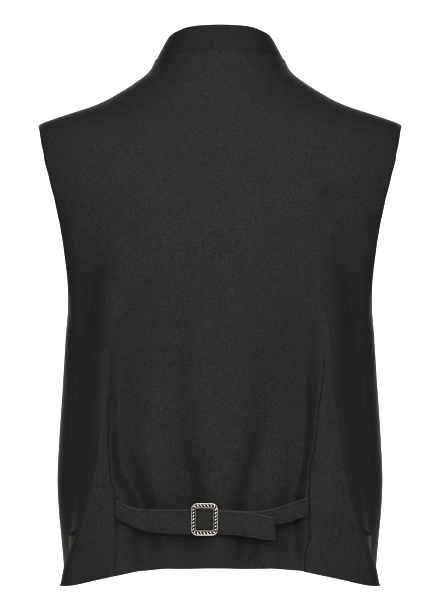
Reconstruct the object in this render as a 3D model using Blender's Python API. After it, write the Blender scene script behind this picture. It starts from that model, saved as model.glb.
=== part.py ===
"""A sleeveless folk vest with a stand collar and a buckled half-belt, worn and hollow.

Metres, +Z up. The fronts face -Y, the back faces +Y and the wearer's left is +X. The origin is
the middle of the neck between the two neck points. Every cloth piece is a wall on one body
surface, which is a stack of closed rounded sections with the drape folds pressed into it.
Angles run round the body from the centre back (0) over the side (90 degrees) to the centre front.
"""

import math

import bmesh
import bpy
import numpy as np

# ---------------------------------------------------------------- driving sizes
CLOTH = 0.0022            # loden cloth with its facing
COLLAR_CLOTH = 0.0028     # two layers and the interfacing
STRAP_CLOTH = 0.0018
SEAM_GAP = 0.0003

SHOULDER_SLOPE_TOP = 0.0144    # neck point, at the side of the neck
NECK_BACK = 0.0206
NECK_FRONT = -0.058
SHOULDER_TIP = -0.0648
UNDERARM = -0.2856
VENT_TOP = -0.545
HEM_BACK = -0.5858             # at the centre back
HEM_CORNER = -0.6146           # the back's hem drops to its two corners
HEM_FRONT = -0.600

FRONT_LAP = 0.018              # each front passes the centre by this much
LAP_STEP = CLOTH + SEAM_GAP + 0.0002
UNDERLAP = 0.012               # the front's edge lies this far under the back at the vent
UNDERLAP_STEP = 0.0036
NOTCH = 0.003                  # clears the seam's end where the underlap starts
FLAP_LIFT = 0.0075             # the back's hem corner stands off the front

VENT_ACROSS = 0.168            # where the vent opens, from the centre

DART_DEPTH = 0.0010
DART_HALF_WIDTH = 0.0035

COLLAR_HALF_GAP = 0.0012       # the collar's ends meet at the centre front

BUTTON_RADIUS = 0.0080
BUTTON_HEIGHT = 0.0050
BUTTON_TOP = -0.078
BUTTON_STEP = 0.084
BUTTON_COUNT = 6

BUCKLE_CENTRE = (0.0179, -0.528)    # across, height
BUCKLE_HALF = (0.0129, 0.0158)      # to the middle of its side and end bars
BUCKLE_CORNER = 0.0045
BUCKLE_BAR_HALF_WIDTH = 0.0032
BUCKLE_BAR_HALF_THICKNESS = 0.0015
BUCKLE_LIFT = 0.0096                # middle of the frame above the back
PRONG_LIFT = 0.0044                 # centre bar above the back
PRONG_RADIUS = 0.0010

FACING_THICKNESS = 0.0008
FACING_PROUD = 0.0026          # the collar's facing stands this far past its inner top edge


# ---------------------------------------------------------------- tables
def table(names, *rows):
    """Rows of numbers with named columns. The first column rises from row to row."""
    return dict(zip(names.split(), np.array(rows).T))


SECTIONS = table(
    "height half_width back_depth front_depth back_square front_square",
    (-0.640, 0.1850, 0.120, 0.120, 2.70, 2.60),
    (-0.600, 0.1876, 0.118, 0.120, 2.70, 2.60),
    (-0.562, 0.1907, 0.115, 0.122, 2.70, 2.60),
    (-0.525, 0.1936, 0.112, 0.124, 2.70, 2.60),
    (-0.490, 0.1949, 0.109, 0.125, 2.70, 2.60),
    (-0.440, 0.1930, 0.107, 0.125, 2.65, 2.55),
    (-0.380, 0.1896, 0.108, 0.124, 2.60, 2.50),
    (-0.320, 0.1853, 0.111, 0.122, 2.55, 2.50),
    (-0.3000, 0.1833, 0.112, 0.1205, 2.55, 2.50),
    (-0.2856, 0.1823, 0.113, 0.1195, 2.55, 2.50),
    (-0.2736, 0.1826, 0.114, 0.119, 2.55, 2.50),
    (-0.2616, 0.1846, 0.1148, 0.118, 2.55, 2.50),
    (-0.2496, 0.1874, 0.1155, 0.117, 2.55, 2.50),
    (-0.2256, 0.1946, 0.1165, 0.114, 2.55, 2.50),
    (-0.2016, 0.2023, 0.1168, 0.110, 2.50, 2.50),
    (-0.1776, 0.2105, 0.1160, 0.105, 2.50, 2.50),
    (-0.1536, 0.2200, 0.1140, 0.098, 2.45, 2.45),
    (-0.1296, 0.2297, 0.1108, 0.089, 2.40, 2.40),
    (-0.1056, 0.2366, 0.1060, 0.078, 2.35, 2.35),
    (-0.0936, 0.2368, 0.1031, 0.0715, 2.33, 2.33),
    (-0.0816, 0.2332, 0.1000, 0.065, 2.30, 2.30),
    (-0.0720, 0.2263, 0.0971, 0.0590, 2.27, 2.27),
    (-0.0648, 0.2180, 0.0948, 0.055, 2.25, 2.25),
    (-0.0612, 0.2115, 0.0937, 0.0535, 2.22, 2.22),
    (-0.0576, 0.2015, 0.0925, 0.0520, 2.20, 2.20),
    (-0.0504, 0.1799, 0.0900, 0.0497, 2.20, 2.20),
    (-0.0432, 0.1576, 0.0875, 0.0482, 2.15, 2.15),
    (-0.0360, 0.1397, 0.0850, 0.0472, 2.15, 2.15),
    (-0.0288, 0.1264, 0.0825, 0.0462, 2.10, 2.10),
    (-0.0144, 0.1030, 0.0772, 0.0450, 2.10, 2.10),
    (0.0000, 0.0851, 0.0718, 0.0445, 2.05, 2.05),
    (0.0144, 0.0764, 0.0668, 0.0440, 2.00, 2.00),
    (0.0300, 0.0690, 0.0620, 0.0435, 2.00, 2.00),
)

# How far behind (+) or before (-) the middle the side seam and the armhole's edges lie.
SIDE_SEAM = table(
    "height behind",
    (VENT_TOP, 0.0735),
    (-0.480, 0.062),
    (-0.400, 0.045),
    (-0.330, 0.025),
    (UNDERARM, 0.000),
)
ARMHOLE = table(
    "height back_edge front_edge",
    (UNDERARM, 0.000, 0.000),
    (-0.2826, 0.0150, -0.017),
    (-0.2736, 0.0250, -0.030),
    (-0.2616, 0.0360, -0.043),
    (-0.2496, 0.0440, -0.053),
    (-0.2256, 0.0545, -0.066),
    (-0.2016, 0.0600, -0.071),
    (-0.1776, 0.0637, -0.073),
    (-0.1536, 0.0650, -0.070),
    (-0.1296, 0.0642, -0.063),
    (-0.1056, 0.0603, -0.051),
    (-0.0936, 0.0563, -0.045),
    (-0.0816, 0.0489, -0.038),
    (-0.0740, 0.0405, -0.032),
    (-0.0690, 0.0300, -0.0245),
    (SHOULDER_TIP, 0.000, 0.000),
    (0.030, 0.000, 0.000),
)

# The back's free edge below the vent, measured across.
FLAP_EDGE = table(
    "height across lift",
    (-0.6160, 0.1845, 1.00),
    (-0.6106, 0.1815, 0.95),
    (-0.5860, 0.1785, 0.70),
    (-0.5710, 0.1745, 0.50),
    (-0.5600, 0.1710, 0.30),
    (-0.5500, 0.1690, 0.06),
    (VENT_TOP, 0.1680, 0.00),
)

DARTS = table(
    "height left right",
    (-0.620, 0.1245, 0.0990),
    (-0.585, 0.1240, 0.0998),
    (-0.5526, 0.1228, 0.1037),
    (-0.528, 0.1220, 0.1044),
    (-0.504, 0.1220, 0.1029),
    (-0.480, 0.1260, 0.1044),
    (-0.439, 0.1310, 0.1113),
    (-0.400, 0.1290, 0.1145),
    (-0.360, 0.1240, 0.1190),
    (-0.3215, 0.1225, 0.1215),
)
DART_TOP = {"left": -0.405, "right": -0.3215}

# Drape folds: across is the distance from the centre, rise is how far the cloth stands out (+)
# or falls in (-), inner and outer are the fold's half widths towards the centre and the side.
CREST = table(
    "height across rise inner outer",
    (-0.600, 0.176, 0.0010, 0.020, 0.014),
    (-0.545, 0.164, 0.0034, 0.022, 0.016),
    (-0.505, 0.152, 0.0068, 0.024, 0.022),
    (-0.465, 0.144, 0.0078, 0.024, 0.030),
    (-0.420, 0.137, 0.0078, 0.024, 0.034),
    (-0.360, 0.130, 0.0076, 0.024, 0.030),
    (-0.310, 0.126, 0.0064, 0.025, 0.027),
    (-0.260, 0.114, 0.0040, 0.027, 0.030),
    (-0.200, 0.110, 0.0016, 0.030, 0.028),
    (-0.150, 0.108, 0.0000, 0.030, 0.025),
)
HOLLOW = table(
    "height across rise inner outer",
    (-0.600, 0.185, -0.0010, 0.016, 0.030),
    (-0.545, 0.182, -0.0056, 0.020, 0.032),
    (-0.505, 0.176, -0.0060, 0.022, 0.030),
    (-0.470, 0.170, -0.0066, 0.024, 0.030),
    (-0.437, 0.172, -0.0092, 0.034, 0.033),
    (-0.390, 0.173, -0.0120, 0.039, 0.035),
    (-0.332, 0.169, -0.0106, 0.036, 0.031),
    (-0.273, 0.159, -0.0070, 0.022, 0.021),
    (-0.200, 0.146, -0.0036, 0.022, 0.020),
    (-0.140, 0.138, 0.0000, 0.028, 0.022),
)
OUTER_VALLEY = table(
    "height across lean rise inner outer",
    (-0.600, 0.088, 0.000, -0.0110, 0.022, 0.012),
    (-0.560, 0.089, 0.002, -0.0180, 0.022, 0.010),
    (-0.525, 0.090, 0.004, -0.0200, 0.020, 0.008),
    (-0.505, 0.094, 0.006, -0.0200, 0.020, 0.007),
    (-0.485, 0.104, 0.009, -0.0215, 0.024, 0.006),
    (-0.455, 0.112, 0.011, -0.0225, 0.028, 0.006),
    (-0.420, 0.114, 0.010, -0.0215, 0.029, 0.007),
    (-0.360, 0.112, 0.009, -0.0180, 0.029, 0.009),
    (-0.300, 0.107, 0.004, -0.0100, 0.028, 0.012),
    (-0.250, 0.102, 0.002, -0.0032, 0.026, 0.018),
    (-0.210, 0.100, 0.000, 0.0000, 0.024, 0.018),
)
INNER_VALLEY = table(
    "height across lean rise inner outer",
    (-0.600, 0.038, 0.006, -0.0085, 0.024, 0.020),
    (-0.560, 0.038, 0.006, -0.0145, 0.021, 0.022),
    (-0.515, 0.037, 0.002, -0.0182, 0.017, 0.025),
    (-0.485, 0.040, 0.000, -0.0184, 0.017, 0.027),
    (-0.455, 0.048, 0.000, -0.0172, 0.018, 0.028),
    (-0.430, 0.053, 0.000, -0.0146, 0.019, 0.028),
    (-0.400, 0.056, 0.000, -0.0120, 0.020, 0.028),
    (-0.360, 0.057, 0.000, -0.0096, 0.021, 0.028),
    (-0.300, 0.051, 0.000, -0.0055, 0.021, 0.028),
    (-0.250, 0.046, 0.000, -0.0020, 0.022, 0.026),
    (-0.210, 0.046, 0.000, 0.0000, 0.022, 0.026),
)
FRONT_FOLD = table(
    "height across rise inner outer",
    (-0.600, 0.132, -0.0050, 0.026, 0.022),
    (-0.480, 0.134, -0.0070, 0.026, 0.022),
    (-0.360, 0.138, -0.0055, 0.026, 0.022),
    (-0.260, 0.142, -0.0020, 0.028, 0.024),
    (-0.200, 0.142, 0.0000, 0.028, 0.024),
)
BACK_FOLDS = (CREST, HOLLOW, OUTER_VALLEY, INNER_VALLEY)

# The collar's top edge, by degrees round from the centre back.
COLLAR_TOP = table(
    "turn height radius",
    (0, 0.0519, 0.0500),
    (30, 0.0509, 0.0540),
    (45, 0.0492, 0.0578),
    (60, 0.0457, 0.0610),
    (75, 0.0417, 0.0628),
    (90, 0.0372, 0.0632),
    (110, 0.0247, 0.0605),
    (130, 0.0062, 0.0545),
    (150, -0.0133, 0.0490),
    (165, -0.0233, 0.0462),
    (180, -0.0268, 0.0455),
)

# The two belt straps, from the buckle's free side on the wearer's right to the left dart.
# lift is the gap between the strap's inner face and the unfolded back.
LONG_STRAP = table(
    "across top bottom lift",
    (-0.0644, -0.5262, -0.5532, 0.0040),
    (-0.0560, -0.5245, -0.5525, 0.0038),
    (-0.0487, -0.5230, -0.5516, 0.0038),
    (-0.0348, -0.5203, -0.5490, 0.0040),
    (-0.0180, -0.5190, -0.5470, 0.0044),
    (0.0000, -0.5173, -0.5458, 0.0056),
    (0.0060, -0.5168, -0.5425, 0.0061),
    (0.0110, -0.5160, -0.5402, 0.0070),
    (0.0179, -0.5157, -0.5399, 0.0078),
    (0.0248, -0.5160, -0.5402, 0.0068),
    (0.0300, -0.5166, -0.5425, 0.0057),
    (0.0360, -0.5167, -0.5458, 0.0052),
    (0.0580, -0.5167, -0.5452, 0.0042),
    (0.0800, -0.5170, -0.5435, 0.0034),
    (0.0960, -0.5160, -0.5400, 0.0028),
    (0.1080, -0.5130, -0.5345, 0.0024),
    (0.1160, -0.5095, -0.5303, 0.0021),
    (0.1214, -0.5065, -0.5280, 0.0018),
)
SHORT_STRAP = table(
    "across top bottom lift",
    (-0.1030, -0.5033, -0.5250, 0.0018),
    (-0.0960, -0.5055, -0.5270, 0.0016),
    (-0.0860, -0.5086, -0.5300, 0.0014),
    (-0.0761, -0.5120, -0.5330, 0.0012),
    (-0.0620, -0.5160, -0.5360, 0.0012),
    (-0.0400, -0.5190, -0.5395, 0.0014),
    (-0.0150, -0.5180, -0.5398, 0.0024),
    (0.0060, -0.5165, -0.5394, 0.0039),
    (0.0179, -0.5160, -0.5390, 0.0057),
)


def read(data, name, at, key="height"):
    """A smooth curve through one column of a table. It never swings past its rows."""
    x, y = data[key], data[name]
    steps = np.diff(x)
    slopes = np.diff(y) / steps
    tangents = np.zeros_like(y)
    product = slopes[:-1] * slopes[1:]
    same = product > 0
    tangents[1:-1][same] = 2 * product[same] / (slopes[:-1] + slopes[1:])[same]
    tangents[0], tangents[-1] = slopes[0], slopes[-1]
    at = np.clip(at, x[0], x[-1])
    row = np.clip(np.searchsorted(x, at) - 1, 0, len(x) - 2)
    t = (at - x[row]) / steps[row]
    return (
        y[row] * (1 + 2 * t) * (1 - t) ** 2
        + y[row + 1] * t * t * (3 - 2 * t)
        + steps[row] * (tangents[row] * t * (1 - t) ** 2 - tangents[row + 1] * t * t * (1 - t))
    )


def ramp(value, start, end):
    """0 before start, 1 after end, smooth between."""
    t = np.clip((value - start) / (end - start), 0, 1)
    return t * t * (3 - 2 * t)


# ---------------------------------------------------------------- the body surface
def section(height, behind):
    """Half width, depth and squareness of the rounded section at a height."""
    half_width = read(SECTIONS, "half_width", height)
    depth = np.where(behind, read(SECTIONS, "back_depth", height), read(SECTIONS, "front_depth", height))
    square = np.where(behind, read(SECTIONS, "back_square", height), read(SECTIONS, "front_square", height))
    return half_width, depth, square


def angle_across(across, height, behind=True):
    """The angle at which the section is this far from the centre."""
    half_width, depth, square = section(height, behind)
    share = np.clip(np.abs(across) / half_width, 0, 0.9999)
    reach = depth * (1 - share**square) ** (1 / square)
    return np.arctan2(across, reach if behind else -reach)


def angle_behind(distance, height):
    """The angle at which the section is this far behind (+) or before (-) the middle."""
    half_width, depth, square = section(height, distance >= 0)
    reach = half_width * (1 - (np.abs(distance) / depth) ** square) ** (1 / square)
    return np.arctan2(reach, distance)


def fold(data, turn, height, radius, behind=True):
    """How far one pair of folds moves the surface."""
    lean = read(data, "lean", height) * np.sign(turn) if "lean" in data else 0
    where = angle_across(read(data, "across", height) + lean, height, behind)
    away = (np.abs(turn) - where) * radius
    towards_centre = away < 0 if behind else away > 0
    width = np.where(towards_centre, read(data, "inner", height), read(data, "outer", height))
    return read(data, "rise", height) * np.exp(-((away / width) ** 2))


def body(turn, height, lift=0.0):
    """Points of the draped surface. turn is in radians, positive over the wearer's left."""
    sine, cosine = np.sin(turn), np.cos(turn)
    half_width, depth, square = section(height, cosine > 0)
    radius = ((np.abs(sine) / half_width) ** square + (np.abs(cosine) / depth) ** square) ** (-1 / square)
    x, y = radius * sine, radius * cosine
    out_x = np.sign(x) * (np.abs(x) / half_width) ** (square - 1) / half_width
    out_y = np.sign(y) * (np.abs(y) / depth) ** (square - 1) / depth
    length = np.hypot(out_x, out_y)
    rise = sum(fold(data, turn, height, radius) for data in BACK_FOLDS)
    rise = rise + fold(FRONT_FOLD, turn, height, radius, behind=False) + lift
    return np.stack([x + rise * out_x / length, y + rise * out_y / length, height + 0 * x], axis=-1)


def outward(turn, height):
    """Unit normals of the draped surface."""
    step = 1e-4
    round_it = body(turn + step, height) - body(turn - step, height)
    up_it = body(turn, height + step) - body(turn, height - step)
    normal = np.cross(up_it, round_it)
    return normal / np.linalg.norm(normal, axis=-1, keepdims=True)


# ---------------------------------------------------------------- panel rows and columns
def hem_height(across):
    """The back's hem: level in the middle, dropping to its corners."""
    return HEM_BACK - (HEM_BACK - HEM_CORNER) * np.clip((np.abs(across) - 0.060) / 0.128, 0, 1) ** 1.45


def spaced_turns(start, end, height_of, shares):
    """Angles between start and end that lie at these shares of the way along the surface."""
    turns = np.linspace(start, end, 97)
    heights = height_of(turns)
    half_width, depth, square = section(heights, np.cos(turns) > 0)
    radius = ((np.abs(np.sin(turns)) / half_width) ** square
              + (np.abs(np.cos(turns)) / depth) ** square) ** (-1 / square)
    points = np.stack([radius * np.sin(turns), radius * np.cos(turns), heights], axis=-1)
    run = np.concatenate([[0], np.cumsum(np.linalg.norm(np.diff(points, axis=0), axis=1))])
    return np.interp(shares * run[-1], run, turns), lambda turn: np.interp(turn, turns, run) / run[-1]


BACK_ROWS = (("hem", "vent", 4), ("vent", "underarm", 13), ("underarm", "tip", 10), ("tip", "neck", 7))
BACK_COLUMNS = (3, 4, 3, 1, 1, 4, 3, 2)    # between the two valleys, the dart, the crest and the hollow
DART_COLUMN = 11
BACK_GUIDES = {          # height at the centre, at the edge, and how late the row rises to it
    "hem": (HEM_BACK, HEM_CORNER, 2.0),
    "vent": (-0.540, VENT_TOP, 2.0),
    "underarm": (-0.294, UNDERARM, 2.0),
    "tip": (-0.082, SHOULDER_TIP, 3.0),
    "neck": (NECK_BACK, SHOULDER_SLOPE_TOP, 2.0),
}
FACING_ROWS = 4
FRONT_ROWS = (("hem", "tuck", 3), ("tuck", "notch", 1), ("notch", "vent", 1),
              ("vent", "underarm", 13), ("underarm", "tip", 10), ("tip", "neck", 7))
FRONT_COLUMNS = 12
FACING_SHARES = (0.044, 0.084, 0.124)      # the front's columns under the vent's facing strip
VENT_REACH = 0.22                          # only the columns this near the edge follow the vent
LAP_MARKS = (3.4, 2.8, 2.2, 1.6, 1.0, 0.5, 0.0)    # columns before the front edge, in laps
FRONT_GUIDES = {
    "hem": (HEM_FRONT, HEM_FRONT, 2.0),
    "tuck": (-0.560, VENT_TOP - 0.0070, 2.0),
    "notch": (-0.555, VENT_TOP - 0.0035, 2.0),
    "vent": (-0.550, VENT_TOP, 2.0),
    "underarm": (-0.310, UNDERARM, 2.0),
    "tip": (-0.122, SHOULDER_TIP, 2.6),
    "neck": (NECK_FRONT, SHOULDER_SLOPE_TOP, 4.0),
}


def row_steps(rows):
    """(lower guide, upper guide, share between them) of each row, from the hem up."""
    steps = []
    for lower, upper, count in rows:
        for step in range(count):
            share = step / count
            if lower == "underarm":      # closer rows round the foot and the top of the armhole
                share = (1 - math.cos(share * math.pi)) / 2
            if lower == "tip":           # closer rows at the shoulder's corner
                share **= 1.3
            steps.append((lower, upper, share))
    steps.append((rows[-1][0], rows[-1][1], 1.0))
    return steps


def guide_height(guides, name, progress, across=None):
    centre, edge, power = guides[name]
    if name == "hem" and across is not None:
        return hem_height(across)
    return centre + (edge - centre) * np.sin(np.clip(progress, 0, 1) * math.pi / 2) ** power


def seam_angle(height, edge):
    """Where a panel's side edge lies: the side seam, the armhole's edge or the shoulder seam."""
    if height < UNDERARM:
        behind = read(SIDE_SEAM, "behind", height)
    else:
        behind = read(ARMHOLE, edge, height)
    turn = angle_behind(behind, height)
    inset = 0.6 * SEAM_GAP / np.hypot(*body(turn, height)[:2])
    return turn - inset if edge == "back_edge" else turn + inset


def back_half(side):
    """Angles, heights, lifts and the dart's column of one half of the back, from the centre out."""
    sign = 1 if side == "left" else -1
    turns, heights, lifts = [], [], []
    for lower, upper, share in row_steps(BACK_ROWS):
        edge_height = (1 - share) * BACK_GUIDES[lower][1] + share * BACK_GUIDES[upper][1]
        if edge_height < VENT_TOP - 1e-6:
            end = angle_across(read(FLAP_EDGE, "across", edge_height), edge_height)
        else:
            end = seam_angle(edge_height, "back_edge")

        def height_of(turn):
            progress = turn / end
            rough = (1 - share) * BACK_GUIDES[lower][0] + share * BACK_GUIDES[upper][0]
            across = body(turn, rough + 0 * turn)[:, 0]
            low = guide_height(BACK_GUIDES, lower, progress, across)
            high = guide_height(BACK_GUIDES, upper, progress)
            return (1 - share) * low + share * high

        level = min(edge_height, -0.200)
        _, share_at = spaced_turns(0, end, height_of, np.array([1.0]))
        if edge_height > level:      # above the folds the columns keep the shares they have there
            level_end = seam_angle(level, "back_edge")
            _, share_at = spaced_turns(0, level_end, lambda turn: level + 0 * turn, np.array([1.0]))
        dart_at = read(DARTS, side, level)
        marks = [share_at(angle_across(across, level)) for across in (
            read(INNER_VALLEY, "across", level) + sign * read(INNER_VALLEY, "lean", level),
            min(read(OUTER_VALLEY, "across", level) + sign * read(OUTER_VALLEY, "lean", level),
                dart_at - 3.0 * DART_HALF_WIDTH),
            dart_at - DART_HALF_WIDTH, dart_at, dart_at + DART_HALF_WIDTH,
            max(read(CREST, "across", level), dart_at + 3.0 * DART_HALF_WIDTH),
            max(read(HOLLOW, "across", level), dart_at + 6.0 * DART_HALF_WIDTH))]
        marks = np.minimum(marks, (1, 1, 1, 1, 1, 0.84, 0.93))
        shares = [0.0]
        for first, last, count in zip([0.0, *marks], [*marks, 1.0], BACK_COLUMNS):
            shares += list(first + (last - first) * np.arange(1, count + 1) / count)
        row, _ = spaced_turns(0, end, height_of, np.array(shares))
        turns.append(sign * row)
        heights.append(height_of(row))
        off_edge = (end - row) * 0.17
        lifts.append(FLAP_LIFT * read(FLAP_EDGE, "lift", edge_height) * (1 - ramp(off_edge, 0.004, 0.045)))
    return np.array(turns), np.array(heights), np.array(lifts)


def wall_points(turns, heights, lifts=0.0, steps=0.0):
    """The outer and inner points of a wall on the body. Steps move it along its own normal."""
    normal = outward(turns, heights)
    steps = np.broadcast_to(steps, turns.shape)
    outer = body(turns, heights, lifts) + steps[..., None] * normal
    return outer, outer - CLOTH * normal


def back_points():
    outer, inner = {}, {}
    for side in ("left", "right"):
        turns, heights, lifts = back_half(side)
        outer[side], inner[side] = wall_points(turns, heights, lifts)
        top = DART_TOP[side]
        pressed = DART_DEPTH * (1 - ramp(heights[:, DART_COLUMN], top - 0.012, top))
        inwards = (inner[side][:, DART_COLUMN] - outer[side][:, DART_COLUMN]) / CLOTH
        outer[side][:, DART_COLUMN] += inwards * pressed[:, None]
    return tuple(np.concatenate([part["right"][:, :0:-1], part["left"]], axis=1) for part in (outer, inner))


def tuck_share(turn, height, edge_height):
    """How far the front is pressed in under the back: at once at the vent, slowly beside it."""
    past_vent = (turn - angle_across(VENT_ACROSS, height)) * 0.17
    at_vent = (edge_height < VENT_TOP - 1e-6) * (1 - ramp(past_vent, 0.002, 0.014))
    beside = (1 - ramp(past_vent, 0.025, 0.075)) * ramp(VENT_TOP - height, 0.0, 0.050)
    return np.maximum(at_vent, beside)


def front_half(side):
    """Angles, heights and steps of one front, from its side edge to its front edge."""
    sign = 1 if side == "left" else -1
    turns, heights, steps = [], [], []
    for lower, upper, share in row_steps(FRONT_ROWS):
        edge_height = (1 - share) * FRONT_GUIDES[lower][1] + share * FRONT_GUIDES[upper][1]
        centre_height = (1 - share) * FRONT_GUIDES[lower][0] + share * FRONT_GUIDES[upper][0]
        lap = FRONT_LAP / read(SECTIONS, "front_depth", centre_height)
        seam = seam_angle(edge_height, "front_edge")
        edge = seam
        if edge_height < FRONT_GUIDES["notch"][1] - 1e-6:
            edge = angle_across(VENT_ACROSS - UNDERLAP, edge_height)
        elif edge_height < VENT_TOP - 1e-6:
            edge = angle_across(VENT_ACROSS + NOTCH, edge_height)

        def height_of(turn):
            progress = (math.pi - turn) / (math.pi - seam)
            low = guide_height(FRONT_GUIDES, lower, progress)
            high = guide_height(FRONT_GUIDES, upper, progress)
            return (1 - share) * low + share * high

        _, share_at = spaced_turns(seam, math.pi + lap, height_of, np.array([1.0]))
        lap_share = 1 - share_at(math.pi)
        even = np.linspace(FACING_SHARES[-1], 1, FRONT_COLUMNS)[1:]
        columns = np.concatenate([(0.0, *FACING_SHARES, *even)]) * (1 - LAP_MARKS[0] * lap_share)
        columns = np.concatenate([columns, 1 - np.array(LAP_MARKS[1:]) * lap_share])
        row, _ = spaced_turns(seam, math.pi + lap, height_of, columns)
        row = row + (edge - seam) * np.clip(1 - columns / VENT_REACH, 0, 1)
        level = height_of(row)
        across = body(row, level)[:, 0]
        under = LAP_STEP * (1 - ramp(across, 0.022, 0.046)) * (row > 2) if side == "right" else 0 * row
        tucked = UNDERLAP_STEP * tuck_share(row, level, edge_height)
        turns.append(sign * row)
        heights.append(level)
        steps.append(-under - tucked)
    return np.array(turns), np.array(heights), np.array(steps)


def front_points(side):
    turns, heights, steps = front_half(side)
    return wall_points(turns, heights, steps=steps)


COLLAR_ROW_SHARES = np.linspace(0, 1, 6)
FACING_ROW_SHARES = (0.08, 0.55, 1.0)      # the facing starts just above the neck seam


def neck_height(turn):
    """Height of the neck seam round the body."""
    turn = np.abs(turn)
    back = NECK_BACK + (SHOULDER_SLOPE_TOP - NECK_BACK) * np.sin(turn) ** 2
    front = NECK_FRONT + (SHOULDER_SLOPE_TOP - NECK_FRONT) * np.sin(turn) ** 4
    return np.where(turn < math.pi / 2, back, front)


def collar_points(shares):
    """The stand collar at these shares of its height. Its foot follows the body's slope, its top
    leans in. Returns its outer points, its inner points and its outward normals."""
    half_gap = COLLAR_HALF_GAP / read(SECTIONS, "front_depth", NECK_FRONT)
    front = front_half("left")[0][-1]
    back = back_half("left")[0][-1]
    front = front[(front < math.pi - 2 * half_gap) & (front > math.pi / 2 + 0.02)]
    turns = np.concatenate([back[:-1], [math.pi / 2], front, [math.pi - half_gap]])
    turns = np.concatenate([-turns[:0:-1], turns])
    foot_height = neck_height(turns) + 1.4 * SEAM_GAP
    foot = body(turns, foot_height)
    foot_normal = outward(turns, foot_height)
    degrees = np.degrees(np.abs(turns))
    radius = read(COLLAR_TOP, "radius", degrees, "turn")
    top = np.stack([radius * np.sin(turns), radius * np.cos(turns),
                    read(COLLAR_TOP, "height", degrees, "turn")], axis=-1)
    shares = np.asarray(shares)[:, None, None]
    slope = np.cross(foot_normal, np.gradient(foot, axis=0))
    slope /= np.linalg.norm(slope, axis=-1, keepdims=True)
    rise = np.linalg.norm(top - foot, axis=-1, keepdims=True)
    bow = 0.35 * rise * (np.sign(slope[..., 2:]) * slope - (top - foot) / rise)
    outer = foot + (top - foot) * shares + bow * shares * (1 - shares) ** 2
    across = np.gradient(outer, axis=1)
    upwards = np.gradient(outer, axis=0)
    normal = np.cross(upwards, across)
    normal /= np.linalg.norm(normal, axis=-1, keepdims=True)
    normal = foot_normal * (1 - shares) ** 3 + normal * (1 - (1 - shares) ** 3)
    normal /= np.linalg.norm(normal, axis=-1, keepdims=True)
    return outer, outer - COLLAR_CLOTH * normal, normal


def collar_facing_points():
    """The facing on the collar's inner face. It ends just above the collar's top edge."""
    _, inner, normal = collar_points(FACING_ROW_SHARES)
    upwards = inner[-1] - inner[-2]
    inner[-1] += FACING_PROUD * upwards / np.linalg.norm(upwards, axis=-1, keepdims=True)
    outer = inner - SEAM_GAP * normal
    return outer, outer - FACING_THICKNESS * normal


# ---------------------------------------------------------------- making the solids
def clear_scene():
    for thing in list(bpy.data.objects):
        bpy.data.objects.remove(thing, do_unlink=True)


def material(name, colour, roughness, metallic=0.0):
    made = bpy.data.materials.new(name)
    made.use_nodes = True
    shader = made.node_tree.nodes["Principled BSDF"]
    shader.inputs["Base Color"].default_value = (*colour, 1.0)
    shader.inputs["Roughness"].default_value = roughness
    shader.inputs["Metallic"].default_value = metallic
    return made


def add_object(name, bm, finish):
    bmesh.ops.recalc_face_normals(bm, faces=bm.faces[:])
    mesh = bpy.data.meshes.new(name)
    bm.to_mesh(mesh)
    bm.free()
    mesh.materials.append(finish)
    mesh.shade_smooth()
    mesh.set_sharp_from_angle(angle=math.radians(40))
    made = bpy.data.objects.new(name, mesh)
    bpy.context.collection.objects.link(made)
    return made


def add_wall(name, outer, inner, finish):
    """A closed wall: a grid on the outer points, extruded to the inner ones."""
    rows, columns = outer.shape[:2]
    bm = bmesh.new()
    place = bm.verts.layers.int.new("place")
    bmesh.ops.create_grid(bm, x_segments=columns - 1, y_segments=rows - 1, size=0.5)
    for vert in bm.verts:
        row, column = round((vert.co.y + 0.5) * (rows - 1)), round((vert.co.x + 0.5) * (columns - 1))
        vert[place] = row * columns + column
    grown = bmesh.ops.extrude_face_region(bm, geom=bm.faces[:])
    grown = {item for item in grown["geom"] if isinstance(item, bmesh.types.BMVert)}
    for vert in bm.verts:
        vert.co = (inner if vert in grown else outer)[divmod(vert[place], columns)]
    return add_object(name, bm, finish)


def strap_face(data, across, lift, thickness):
    """The inner and outer points of a strap at places across the back, top and bottom."""
    shares = np.linspace(0, 1, 3)[:, None]
    top = read(data, "top", across, "across")
    bottom = read(data, "bottom", across, "across")
    heights = top * (1 - shares) + bottom * shares
    half_width, depth, square = section(0.5 * (top + bottom), True)
    reach = depth * (1 - (np.abs(across) / half_width) ** square) ** (1 / square)
    inner = np.stack(np.broadcast_arrays(across, reach + lift, heights), axis=-1)
    along = np.gradient(inner[0], axis=0)
    normal = np.stack([-along[:, 1], along[:, 0], 0 * across], axis=-1)
    normal /= np.linalg.norm(normal, axis=-1, keepdims=True)
    return inner, inner + thickness * normal


def long_strap_points():
    across = np.unique(np.concatenate([
        np.linspace(-0.0644, 0.004, 12), np.linspace(0.004, 0.032, 11), np.linspace(0.032, 0.1214, 14)]))
    inner, outer = strap_face(LONG_STRAP, across, read(LONG_STRAP, "lift", across, "across"), STRAP_CLOTH)
    return outer, inner


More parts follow.
